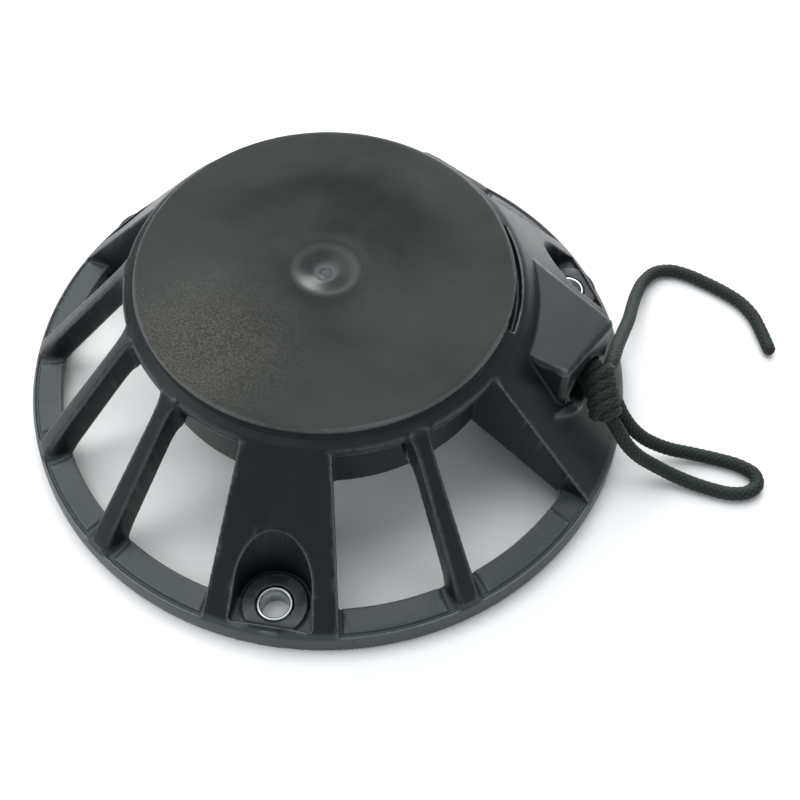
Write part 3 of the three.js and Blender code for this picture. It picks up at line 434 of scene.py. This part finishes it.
# The drum, its disc and ledge, and the post that the pulley turns on.
housing = turned([
    (0, BODY_HEIGHT), (DISC_RADIUS + 0.1, BODY_HEIGHT), (DISC_RADIUS + 0.5, BODY_HEIGHT - 0.4),
    (DISC_RADIUS + 0.5, LEDGE_HEIGHT + 0.8), (LEDGE_RADIUS - 0.5, LEDGE_HEIGHT - 0.4),
    (LEDGE_RADIUS, LEDGE_HEIGHT - 1), (LEDGE_RADIUS, LEDGE_HEIGHT - 3.6),
    (LEDGE_RADIUS - 0.5, LEDGE_HEIGHT - 4.1), (DRUM_RADIUS, LEDGE_HEIGHT - 5), (DRUM_RADIUS, DRUM_RIM + 0.5),
    (DRUM_RADIUS - 0.5, DRUM_RIM), (CAVITY_RADIUS, DRUM_RIM), (CAVITY_RADIUS, CEILING),
    (ARBOR_RADIUS, CEILING), (ARBOR_RADIUS, POST_STEP), (POST_RADIUS, POST_STEP), (POST_RADIUS, POST_END),
    (0, POST_END),
])

# The ring: an upright rim with a thin lip, a fine groove inside the lip, and the flat panel round the
# windows.
ring = turned([
    (RING_RADIUS, 0), (RING_RADIUS, 3), (RING_RADIUS - 0.4, 6.5), (RING_RADIUS - 0.9, 7), (93.9, 7),
    (93.6, 5.9), (92.8, 5.9), (92.6, 6.3), (WINDOW_RADIUS + 0.4, 7.1), (WINDOW_RADIUS, 6.7),
    (WINDOW_RADIUS, 4.9),
    (RING_RADIUS - 2.8, 4.2), (RING_RADIUS - 2.8, 0),
])
combine(housing, ring, "UNION")

# The three pads: full-depth sectors of the cone.
WALL_MIDDLE = (DRUM_RADIUS + CAVITY_RADIUS) / 2
cone_line = [(WALL_MIDDLE, LEDGE_HEIGHT), (LEDGE_RADIUS - 1.6, LEDGE_HEIGHT),
             (LEDGE_RADIUS + 0.4, LEDGE_HEIGHT - 1.2), (94.3, 6.8), (93.6, 0)]
for pad in PAD_AZIMUTHS:
    pad_solid = turned([*cone_line, (74, 0), (WALL_MIDDLE, DRUM_RIM)], start=pad - PAD_HALF_ANGLE,
                       sweep=2 * PAD_HALF_ANGLE)
    combine(housing, pad_solid, "UNION")


def spoke(azimuth):
    """A deep bar under the cone: drafted sides, a narrow flat top, and a foot that spreads on the ring."""
    stations = [*np.linspace(WALL_MIDDLE, 60, 8), *np.linspace(61, 83, 12), *np.linspace(84, 93.6, 16)]
    points = []
    out, side = Vector((*polar(1, azimuth), 0)), Vector((*polar(1, azimuth + 90), 0))
    for r in stations:
        share = (r - LEDGE_RADIUS) / 35
        root = 1.3 * math.exp(-max(0.0, r - LEDGE_RADIUS) / 1.4)
        foot = 1 / (1 + math.exp(-(r - 86.2) / 1.1))
        top_half = 2.3 + 0.9 * share + root
        low_half = 2.7 + 0.9 * share + root * 1.2 + 2.3 * foot
        top = min(cone_height(r), LEDGE_HEIGHT - 0.1) - 0.25
        low = max(3.0, 45.4 - (r - DRUM_RADIUS) * 42.4 / 32.9)
        low_side = min(low + 0.6, top - 1.2)
        section = [(-top_half + 0.9, top), (-top_half, top - 0.8), (-low_half, low_side),
                   (-low_half + 0.5, low), (low_half - 0.5, low), (low_half, low_side),
                   (top_half, top - 0.8), (top_half - 0.9, top)]
        points += [tuple(out * r + side * s + Vector((0, 0, z))) for s, z in section]
    n = len(section)
    faces = tube_sides(len(stations), n)
    faces += [tuple(range(n)), tuple(range((len(stations) - 1) * n, len(stations) * n))[::-1]]
    return clean(mesh_piece("part", points, faces))


for spoke_azimuth in SPOKE_AZIMUTHS:
    combine(housing, spoke(spoke_azimuth), "UNION")

# The ring's raised panels, which stop short of every foot.
foot_spans = sorted([(a - 4.1, a + 4.1) for a in SPOKE_AZIMUTHS]
                    + [(-91 - 12, -89 + 12), (-29.0, 30 + 13), (150 - 13, 150 + 13)])
for (_, clear_from), (clear_to, _) in zip(foot_spans, foot_spans[1:] + [(foot_spans[0][0] + 360, 0)]):
    panel = turned([(WINDOW_RADIUS, 6.0), (92.8, 5.6), (92.8, 6.7), (92.5, 6.9), (WINDOW_RADIUS + 0.4, 7.7),
                    (WINDOW_RADIUS, 7.4)], start=clear_from, sweep=clear_to - clear_from)
    combine(housing, panel, "UNION")

# The outlet's panel: the cone carried on solid from its free edge to the pad beside it.
edge_in, edge_out = Vector(polar(DRUM_RADIUS, -28)), Vector(polar(WINDOW_RADIUS, -24))
edge_way = edge_out - edge_in
edge_square = Vector((-edge_way.y, edge_way.x)).normalized()


def panel_plan(inset):
    """The panel's plan as a tall block, with its free edge moved in by an inset."""
    start, end = edge_in - edge_way * 0.5 + edge_square * inset, edge_out + edge_way + edge_square * inset
    return prism([tuple(start), tuple(end), polar(125, 0), polar(125, 30), (0, 0)], -5, 60)


outlet_panel = turned([*cone_line, (WINDOW_RADIUS, 4.6), (WALL_MIDDLE, DRUM_RIM)], start=-45, sweep=85)
combine(housing, combine(outlet_panel, panel_plan(0), "INTERSECT"), "UNION")

# The outlet's box: a flat top, a face square to the cord, and softened edges.
face_middle = along_rope(OUTLET_FACE)
far_corner = Vector((85.5, 2.4))
near_corner = Vector((2 * face_middle.x - far_corner.x, 2 * face_middle.y - far_corner.y))
box_plan = [polar(WALL_MIDDLE, 28), polar(WALL_MIDDLE, 0), polar(WALL_MIDDLE, -16), polar(61, -13.5),
            tuple(near_corner), tuple(far_corner), polar(62, 23.5)]
OUTLET_TOP = 46.0
outlet_box = prism(box_plan, 7, OUTLET_TOP)
soften = outlet_box.modifiers.new("soften", "BEVEL")
soften.width, soften.segments, soften.limit_method = 1.2 * MM, 1, "ANGLE"
box_mesh = bpy.data.meshes.new_from_object(outlet_box.evaluated_get(bpy.context.evaluated_depsgraph_get()))
outlet_box.modifiers.clear()
outlet_box.data = box_mesh
box_solid = outlet_box.copy()
box_solid.data = box_mesh.copy()
bpy.context.scene.collection.objects.link(box_solid)
combine(housing, clean(outlet_box), "UNION")

# A rounded lip on the panel in front of the exit, on the near side of the cord.
lip_ends = []
for aside in (3, 17):
    foot = along_rope(OUTLET_FACE + 3.5) + Vector((rope_way.y, -rope_way.x, 0)) * aside
    lip_ends.append((foot.x, foot.y, cone_height(math.hypot(foot.x, foot.y)) - 0.3))
lip_start, lip_way = Vector(lip_ends[0]), Vector(lip_ends[1]) - Vector(lip_ends[0])
lip_side = lip_way.normalized().orthogonal().normalized()
lip_up = lip_way.normalized().cross(lip_side)
LIP_RINGS, LIP_SIDES, LIP_RADIUS = 24, 32, 2.2
lip_points = []
for i in range(LIP_RINGS + 1):
    share = i / LIP_RINGS
    swell = LIP_RADIUS * math.sin(math.pi * min(max(share, 0.004), 0.996)) ** 0.5
    for j in range(LIP_SIDES):
        a = 2 * math.pi * j / LIP_SIDES
        outward = lip_side * math.cos(a) + lip_up * math.sin(a)
        lip_points.append(tuple(lip_start + lip_way * share + outward * swell))
lip_faces = tube_sides(LIP_RINGS + 1, LIP_SIDES)
lip_faces += [tuple(range(LIP_SIDES)),
              tuple(range(LIP_RINGS * LIP_SIDES, (LIP_RINGS + 1) * LIP_SIDES))[::-1]]
combine(housing, clean(mesh_piece("part", lip_points, lip_faces)), "UNION")

# The moulding is cored out from below, so that pads, panel and box are skins of even thickness.
SKIN = 3.0
OUTLET_WALL_RADIUS = 10.5
PAD_POST_RADIUS = 14
hollow_line = [(DRUM_RADIUS + 1.8, LEDGE_HEIGHT - 7), (91.8, cone_height(91.8) - SKIN * 1.6), (91.8, -2),
               (DRUM_RADIUS + 1.8, -2)]
walls = rod(along_rope(20), along_rope(OUTLET_FACE + 4), OUTLET_WALL_RADIUS)
upper_box = prism([polar(0.1, 200), polar(120, -34), polar(120, 4)], ROPE_HEIGHT - 2, OUTLET_TOP + 1)
combine(walls, combine(box_solid, upper_box, "INTERSECT"), "UNION")
for pad in PAD_AZIMUTHS:
    x, y = polar(BOLT_CIRCLE, pad)
    combine(walls, rod((x, y, -5), (x, y, 60), PAD_POST_RADIUS), "UNION")


def core(plan, start, sweep):
    """The space under the skin over a plan, less the walls that stand in it."""
    made = combine(turned(hollow_line, start=start, sweep=sweep), plan, "INTERSECT")
    copy = walls.copy()
    copy.data = walls.data.copy()
    bpy.context.scene.collection.objects.link(copy)
    return combine(made, copy, "DIFFERENCE")


for pad in PAD_AZIMUTHS:
    pad_plan = wedge(pad - PAD_HALF_ANGLE, pad + PAD_HALF_ANGLE, inset=SKIN)
    combine(housing, core(pad_plan, pad - 20, 40), "DIFFERENCE")
combine(housing, core(panel_plan(SKIN), -45, 85), "DIFFERENCE")
bpy.data.objects.remove(walls)

# Each pad's arched pocket, the boss that stands in it, and the hole for its sleeve.
POCKET_RADIUS = 11
POCKET_FLOOR = 6.4
BOSS_RADIUS = 9.4
SLEEVE_LENGTH = 8.0
SLEEVE_HOLE_RADIUS = 5.6
for pad in PAD_AZIMUTHS:
    turn = math.radians(pad)
    arch = [(92.2, -12), (92.2, 12), (BOLT_CIRCLE, POCKET_RADIUS)]
    arch += [(BOLT_CIRCLE + POCKET_RADIUS * math.cos(math.radians(a)),
              POCKET_RADIUS * math.sin(math.radians(a))) for a in range(96, 265, 6)]
    arch += [(BOLT_CIRCLE, -POCKET_RADIUS)]
    arch = [(x * math.cos(turn) - y * math.sin(turn), x * math.sin(turn) + y * math.cos(turn))
            for x, y in arch]
    combine(housing, prism(arch, POCKET_FLOOR, 60), "DIFFERENCE")
    x, y = polar(BOLT_CIRCLE, pad)
    combine(housing, rod((x, y, 0), (x, y, SLEEVE_LENGTH), BOSS_RADIUS), "UNION")
    combine(housing, rod((x, y, -1), (x, y, SLEEVE_LENGTH + 1), SLEEVE_HOLE_RADIUS), "DIFFERENCE")

# The outlet's round recess, the tunnel behind it, the slot in the ledge, and the spring's notch in the post.
RECESS_RADIUS = 7.5
TUNNEL_RADIUS = 4.4
combine(housing, rod(along_rope(OUTLET_FACE - 6), along_rope(OUTLET_FACE + 25), RECESS_RADIUS), "DIFFERENCE")
combine(housing, rod(along_rope(20), along_rope(OUTLET_FACE - 5), TUNNEL_RADIUS), "DIFFERENCE")
SLOT_FLOOR = LEDGE_HEIGHT - 2.6
ledge_slot = turned([(DISC_RADIUS + 0.3, 56), (DISC_RADIUS + 2.2, 56), (DISC_RADIUS + 2.2, SLOT_FLOOR),
                     (DISC_RADIUS + 0.3, SLOT_FLOOR)], start=-11, sweep=41)
combine(housing, ledge_slot, "DIFFERENCE")
combine(housing, prism([(5.8, -1.1), (10, -1.1), (10, 1.1), (5.8, 1.1)], 37, 50.8), "DIFFERENCE")
combine(housing, rod((0, 0, POST_END - 1), (0, 0, POST_END + 19.5), 2.9, 32), "DIFFERENCE")

# The mould's radii: the solid is skinned again on a fine grid and eased, which rounds each edge and inner
# corner.
GRID = 0.42
skin = housing.modifiers.new("skin", "REMESH")
skin.mode, skin.voxel_size = "VOXEL", GRID * MM
ease = housing.modifiers.new("ease", "SMOOTH")
ease.factor, ease.iterations = 0.5, 2
moulded = bpy.data.meshes.new_from_object(housing.evaluated_get(bpy.context.evaluated_depsgraph_get()))
housing.modifiers.clear()
housing.data = moulded

# The disc has sunk a little in the mould: shallow rings, a dimple round the gate, and the gate's own small
# mark.
DIMPLE_DEPTH, DIMPLE_RADIUS = 2.5, 6.2
WAVE_EDGE = 54
co = np.zeros(len(moulded.vertices) * 3, np.float32)
moulded.vertices.foreach_get("co", co)
co = co.reshape(-1, 3) / MM
radius = np.hypot(co[:, 0], co[:, 1])
on_disc = (co[:, 2] > 54.2) & (radius < WAVE_EDGE)
x, y = co[:, 0], co[:, 1]
turn = np.arctan2(y, x)
fade = np.clip((WAVE_EDGE - radius) / 6, 0, 1)
sink = 0.11 * np.sin(radius / 2.7 + 0.6 * np.sin(turn * 2 + 0.5)) * np.clip(radius / 18, 0, 1) * np.clip(
    (46 - radius) / 20, 0, 1)
sink += 0.06 * np.sin(radius / 6.2 + 0.8 * np.cos(turn - 0.8))
dimple = np.hypot(x + 0.2, y - 0.5)
sink -= DIMPLE_DEPTH * np.exp(-(dimple / DIMPLE_RADIUS) ** 3)
sink += 0.4 * np.exp(-((dimple - 10.2) / 2.4) ** 2)
sink += 0.28 * np.exp(-((dimple - 2.2) / 0.5) ** 2) + 0.3 * np.exp(-(dimple / 0.7) ** 2)
co[:, 2] += np.where(on_disc, (sink - 0.55) * fade, 0.0)
co[:, 2] = np.clip(co[:, 2], 0, BODY_HEIGHT)
moulded.vertices.foreach_set("co", (co * MM).ravel())
HOUSING_TRIANGLES = 190_000
thin = housing.modifiers.new("thin", "DECIMATE")
thin.ratio = HOUSING_TRIANGLES / max(1, 2 * len(moulded.polygons))
housing_mesh = bpy.data.meshes.new_from_object(housing.evaluated_get(bpy.context.evaluated_depsgraph_get()))
housing.modifiers.clear()
housing.data = housing_mesh
housing_mesh.polygons.foreach_set("use_smooth", [True] * len(housing_mesh.polygons))
housing.name = "housing_moulding"

# Glass-filled nylon, moulded and satin: near black with a cool cast, fine grain from the mould, faint flow
# marks, a painted highlight that turns convex edges pale, and on the disc a dull dark patch, a glossier
# dimple and a dusty brownish rub.
nylon_moulded_black, shader = new_material("nylon_moulded_black")
place = add_node(nylon_moulded_black, "ShaderNodeTexCoord").outputs["Object"]
flow = add_node(nylon_moulded_black, "ShaderNodeTexNoise", {
    "Vector": place, "Scale": 22.0, "Detail": 5.0, "Roughness": 0.55, "Distortion": 0.4})
grain = add_node(nylon_moulded_black, "ShaderNodeTexNoise", {"Vector": place, "Scale": 1500.0, "Detail": 3.0})
parts = add_node(nylon_moulded_black, "ShaderNodeSeparateXYZ", {"Vector": place})
on_top = add_node(nylon_moulded_black, "ShaderNodeMapRange", {
    "Value": parts.outputs["Z"], "From Min": 0.0525, "From Max": 0.0538})
rub_distance = add_node(nylon_moulded_black, "ShaderNodeVectorMath", {
    0: place, 1: (-0.030, -0.033, 0.055)}, operation="DISTANCE")
rub_near = add_node(nylon_moulded_black, "ShaderNodeMapRange", {
    "Value": rub_distance.outputs["Value"], "From Min": 0.034, "From Max": 0.008})
speckle = add_node(nylon_moulded_black, "ShaderNodeTexNoise", {
    "Vector": place, "Scale": 1500.0, "Detail": 5.0, "Roughness": 0.8})
speckle_share = add_node(nylon_moulded_black, "ShaderNodeMapRange", {
    "Value": speckle.outputs["Fac"], "From Min": 0.42, "From Max": 0.75})
rub = add_node(nylon_moulded_black, "ShaderNodeMath", {
    0: rub_near.outputs["Result"], 1: speckle_share.outputs["Result"]}, operation="MULTIPLY")
rub_on_top = add_node(nylon_moulded_black, "ShaderNodeMath", {
    0: rub.outputs[0], 1: on_top.outputs["Result"]}, operation="MULTIPLY")
flat_place = add_node(nylon_moulded_black, "ShaderNodeVectorMath", {
    0: place, 1: (1, 1, 0)}, operation="MULTIPLY")
from_axis = add_node(nylon_moulded_black, "ShaderNodeVectorMath", {
    0: flat_place.outputs[0]}, operation="LENGTH")
past_windows = add_node(nylon_moulded_black, "ShaderNodeMapRange", {
    "Value": from_axis.outputs["Value"], "From Min": 0.0848, "From Max": 0.0854})
low_down = add_node(nylon_moulded_black, "ShaderNodeMapRange", {
    "Value": parts.outputs["Z"], "From Min": 0.0086, "From Max": 0.0076})
on_ring = add_node(nylon_moulded_black, "ShaderNodeMath", {
    0: past_windows.outputs["Result"], 1: low_down.outputs["Result"]}, operation="MULTIPLY")
body_colour = add_node(nylon_moulded_black, "ShaderNodeMix", {
    0: flow.outputs["Fac"], 6: linear("12161a"), 7: linear("1c2124")}, data_type="RGBA")
# The ring is lighter than the body: a painted sheen on its up-facing surfaces, broken into speckles by noise.
ring_speckled_sheen = add_node(nylon_moulded_black, "ShaderNodeMix", {
    0: speckle.outputs["Fac"], 6: linear("23292c"), 7: linear("4b5255")}, data_type="RGBA")
ring_colour = add_node(nylon_moulded_black, "ShaderNodeMix", {
    0: on_ring.outputs[0], 6: body_colour.outputs[2], 7: ring_speckled_sheen.outputs[2]}, data_type="RGBA")
disc_flow = add_node(nylon_moulded_black, "ShaderNodeMix", {
    0: flow.outputs["Fac"], 6: linear("0e1213"), 7: linear("2b312e")}, data_type="RGBA")
disc_colour = add_node(nylon_moulded_black, "ShaderNodeMix", {
    0: on_top.outputs["Result"], 6: ring_colour.outputs[2], 7: disc_flow.outputs[2]}, data_type="RGBA")
nylon_colour = add_node(nylon_moulded_black, "ShaderNodeMix", {
    0: rub_on_top.outputs[0], 6: disc_colour.outputs[2], 7: linear("5d5a4c")}, data_type="RGBA")
nylon_gloss = add_node(nylon_moulded_black, "ShaderNodeMapRange", {
    "Value": flow.outputs["Fac"], "From Min": 0.3, "From Max": 0.7, "To Min": 0.3, "To Max": 0.46})
sheen_of_top = add_node(nylon_moulded_black, "ShaderNodeMapRange", {
    "Value": flow.outputs["Fac"], "From Min": 0.35, "From Max": 0.65, "To Min": -0.135, "To Max": -0.075})
sheen_drop = add_node(nylon_moulded_black, "ShaderNodeMath", {
    0: sheen_of_top.outputs["Result"], 1: on_top.outputs["Result"]}, operation="MULTIPLY")
stain_distance = add_node(nylon_moulded_black, "ShaderNodeVectorMath", {
    0: place, 1: (0.006, 0.024, 0.055)}, operation="DISTANCE")
stain = add_node(nylon_moulded_black, "ShaderNodeMapRange", {
    "Value": stain_distance.outputs["Value"], "From Min": 0.042, "From Max": 0.008, "To Max": -0.075})
gate_gloss = add_node(nylon_moulded_black, "ShaderNodeMapRange", {
    "Value": from_axis.outputs["Value"], "From Min": 0.0105, "From Max": 0.0085, "To Max": 0.22})
stained = add_node(nylon_moulded_black, "ShaderNodeMath", {
    0: sheen_drop.outputs[0], 1: stain.outputs["Result"]})
glossed = add_node(nylon_moulded_black, "ShaderNodeMath", {
    0: stained.outputs[0], 1: gate_gloss.outputs["Result"]})
nylon_sheen = add_node(nylon_moulded_black, "ShaderNodeMath", {0: glossed.outputs[0], 1: 0.24})
# Pale convex edges: a painted highlight, with the colour lightened wherever the surface is pointy.
edge = add_node(nylon_moulded_black, "ShaderNodeNewGeometry")
edge_highlight_share = add_node(nylon_moulded_black, "ShaderNodeMapRange", {
    "Value": edge.outputs["Pointiness"], "From Min": 0.51, "From Max": 0.56, "To Max": 0.75})
edge_highlight_colour = add_node(nylon_moulded_black, "ShaderNodeMix", {
    0: edge_highlight_share.outputs["Result"], 6: nylon_colour.outputs[2], 7: linear("747b7d")}, data_type="RGBA")
grain_bump = add_node(nylon_moulded_black, "ShaderNodeBump", {
    "Height": grain.outputs["Fac"], "Strength": 0.35, "Distance": 0.00008})
flow_bump = add_node(nylon_moulded_black, "ShaderNodeBump", {
    "Height": flow.outputs["Fac"], "Strength": 0.4, "Distance": 0.0008,
    "Normal": grain_bump.outputs["Normal"]})
nylon_moulded_black.node_tree.links.new(edge_highlight_colour.outputs[2], shader.inputs["Base Color"])
nylon_moulded_black.node_tree.links.new(nylon_sheen.outputs[0], shader.inputs["Specular IOR Level"])
nylon_moulded_black.node_tree.links.new(nylon_gloss.outputs["Result"], shader.inputs["Roughness"])
nylon_moulded_black.node_tree.links.new(flow_bump.outputs["Normal"], shader.inputs["Normal"])
housing.data.materials.clear()
housing.data.materials.append(nylon_moulded_black)
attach(housing, "housing")
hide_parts("housing")

# The bolt sleeves: short steel tubes pressed into the pads, turned, chamfered and zinc plated.

# Zinc plate on turned steel: pale and bright on the rim, with a fine spangle and duller, speckled bores.
steel_zinc_plated, shader = new_material("steel_zinc_plated", Metallic=1.0)
place = add_node(steel_zinc_plated, "ShaderNodeTexCoord").outputs["Object"]
spangle = add_node(steel_zinc_plated, "ShaderNodeTexNoise", {"Vector": place, "Scale": 900.0, "Detail": 4.0})
zinc_colour = add_node(steel_zinc_plated, "ShaderNodeMix", {
    0: spangle.outputs["Fac"], 6: linear("9aa1a4"), 7: linear("d5d9da")}, data_type="RGBA")
zinc_gloss = add_node(steel_zinc_plated, "ShaderNodeMapRange", {
    "Value": spangle.outputs["Fac"], "To Min": 0.22, "To Max": 0.5})
zinc_bump = add_node(steel_zinc_plated, "ShaderNodeBump", {
    "Height": spangle.outputs["Fac"], "Strength": 0.4, "Distance": 0.00008})
steel_zinc_plated.node_tree.links.new(zinc_colour.outputs[2], shader.inputs["Base Color"])
steel_zinc_plated.node_tree.links.new(zinc_gloss.outputs["Result"], shader.inputs["Roughness"])
steel_zinc_plated.node_tree.links.new(zinc_bump.outputs["Normal"], shader.inputs["Normal"])

SLEEVE_RADIUS, SLEEVE_BORE_RADIUS = 5.3, 4.2
for number, pad in enumerate(PAD_AZIMUTHS, 1):
    sleeve = turned([
        (SLEEVE_RADIUS, 0.3), (SLEEVE_RADIUS, SLEEVE_LENGTH - 0.4), (5.0, SLEEVE_LENGTH),
        (4.5, SLEEVE_LENGTH), (SLEEVE_BORE_RADIUS, SLEEVE_LENGTH - 0.4), (SLEEVE_BORE_RADIUS, 0.3),
        (4.5, 0), (5.0, 0),
    ], segments=96)
    sleeve.location = Vector((*polar(BOLT_CIRCLE, pad), 0)) * MM
    sleeve.name = f"sleeve_{number}"
    sleeve.data.materials.append(steel_zinc_plated)
    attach(sleeve, "housing")
    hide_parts(f"mount_sleeve_{number}")

# The inner pieces keep their own solids, with small radii on their edges and their own materials.


def finish_node(name, material, radius=0.25):
    """Gives a solid its material and rounds its edges."""
    piece = cad_nodes[name]
    piece.data.materials.clear()
    piece.data.materials.append(material)
    weld = piece.modifiers.new("weld", "WELD")
    weld.merge_threshold = 1e-6
    if radius:
        edges = piece.modifiers.new("edges", "BEVEL")
        edges.width, edges.segments, edges.limit_method = radius * MM, 2, "ANGLE"
        edges.angle_limit = math.radians(40)
        edges.harden_normals = False
    return piece


# Acetal, moulded: smooth dark grey with a soft shine and slight mottling.
acetal_grey, shader = new_material("acetal_grey", Roughness=0.4, Specular_IOR_Level=0.5, IOR=1.48)
place = add_node(acetal_grey, "ShaderNodeTexCoord").outputs["Object"]
mottle = add_node(acetal_grey, "ShaderNodeTexNoise", {"Vector": place, "Scale": 60.0, "Detail": 5.0})
acetal_colour = add_node(acetal_grey, "ShaderNodeMix", {
    0: mottle.outputs["Fac"], 6: linear("4b4f51"), 7: linear("5e6264")}, data_type="RGBA")
acetal_bump = add_node(acetal_grey, "ShaderNodeBump", {
    "Height": mottle.outputs["Fac"], "Strength": 0.2, "Distance": 0.0003})
acetal_grey.node_tree.links.new(acetal_colour.outputs[2], shader.inputs["Base Color"])
acetal_grey.node_tree.links.new(acetal_bump.outputs["Normal"], shader.inputs["Normal"])

# The same resin unpigmented: a warm, milky white that lets a little light in.
acetal_natural, shader = new_material("acetal_natural", Roughness=0.38, Subsurface_Weight=0.15,
                                      Subsurface_Scale=0.002, IOR=1.48)
place = add_node(acetal_natural, "ShaderNodeTexCoord").outputs["Object"]
cloud = add_node(acetal_natural, "ShaderNodeTexNoise", {"Vector": place, "Scale": 90.0, "Detail": 4.0})
natural_colour = add_node(acetal_natural, "ShaderNodeMix", {
    0: cloud.outputs["Fac"], 6: linear("d2cdbc"), 7: linear("e6e2d5")}, data_type="RGBA")
acetal_natural.node_tree.links.new(natural_colour.outputs[2], shader.inputs["Base Color"])

# Spring steel, rolled and oiled: dark, bluish, with fine lines.
steel_spring_oiled, shader = new_material("steel_spring_oiled", Metallic=1.0, Roughness=0.34)
place = add_node(steel_spring_oiled, "ShaderNodeTexCoord").outputs["Object"]
oil = add_node(steel_spring_oiled, "ShaderNodeTexNoise", {"Vector": place, "Scale": 240.0, "Detail": 3.0})
spring_colour = add_node(steel_spring_oiled, "ShaderNodeMix", {
    0: oil.outputs["Fac"], 6: linear("565b60"), 7: linear("7c8288")}, data_type="RGBA")
steel_spring_oiled.node_tree.links.new(spring_colour.outputs[2], shader.inputs["Base Color"])

# Steel blackened by hot oxide, for the eyelet that the cord rubs on.
steel_blackened, shader = new_material("steel_blackened", Metallic=1.0, Roughness=0.38)
place = add_node(steel_blackened, "ShaderNodeTexCoord").outputs["Object"]
oxide = add_node(steel_blackened, "ShaderNodeTexNoise", {"Vector": place, "Scale": 500.0, "Detail": 4.0})
oxide_colour = add_node(steel_blackened, "ShaderNodeMix", {
    0: oxide.outputs["Fac"], 6: linear("26292b"), 7: linear("45494c")}, data_type="RGBA")
steel_blackened.node_tree.links.new(oxide_colour.outputs[2], shader.inputs["Base Color"])

finish_node("rope_eyelet", steel_blackened)
finish_node("pulley", acetal_grey, 0.3)
finish_node("spring_keeper", steel_zinc_plated, 0.2)
finish_node("recoil_spring", steel_spring_oiled, 0)
for number in (1, 2):
    finish_node(f"pawl_{number}", acetal_natural, 0.35)
    finish_node(f"pawl_spring_{number}", steel_spring_oiled, 0)
finish_node("retainer", steel_zinc_plated, 0.2)
finish_node("thrust_washer", steel_spring_oiled, 0.1)
finish_node("brake_spring", steel_spring_oiled, 0)
finish_node("end_washer", steel_zinc_plated, 0.2)
finish_node("centre_screw", steel_zinc_plated, 0.3)

# The setting: a plain pale floor under soft light from above and behind, with a weak fill.

FLOOR_REACH = 4000
floor_corners = [(x * FLOOR_REACH, y * FLOOR_REACH, 0) for x, y in ((-1, -1), (1, -1), (1, 1), (-1, 1))]
floor = mesh_piece("floor", floor_corners, [(0, 1, 2, 3)])
floor_paper, shader = new_material("floor_paper", Roughness=0.9, Specular_IOR_Level=0.1)
shader.inputs["Base Color"].default_value = linear("f4f4f4")
floor.data.materials.append(floor_paper)


def softbox(name, place, size, power, aim=(0.0, 0.0, 0.02)):
    """A square area light in metres and watts, turned to face the part."""
    light = bpy.data.lights.new(name, "AREA")
    light.shape, light.size, light.energy = "SQUARE", size, power
    made = bpy.data.objects.new(name, light)
    made.location = place
    made.rotation_euler = (Vector(aim) - Vector(place)).to_track_quat("-Z", "Y").to_euler()
    bpy.context.scene.collection.objects.link(made)


softbox("overhead", (-0.25, 0.55, 1.15), 1.5, 22)
softbox("back_window", (0.15, 1.5, 0.5), 0.7, 14)
softbox("side_fill", (-0.9, -0.3, 0.7), 0.6, 3)
world = bpy.data.worlds.new("studio")
world.use_nodes = True
world.node_tree.nodes["Background"].inputs["Color"].default_value = linear("e6f0f3")
world.node_tree.nodes["Background"].inputs["Strength"].default_value = 0.55
bpy.context.scene.world = world
bpy.context.scene.view_settings.view_transform = "Standard"
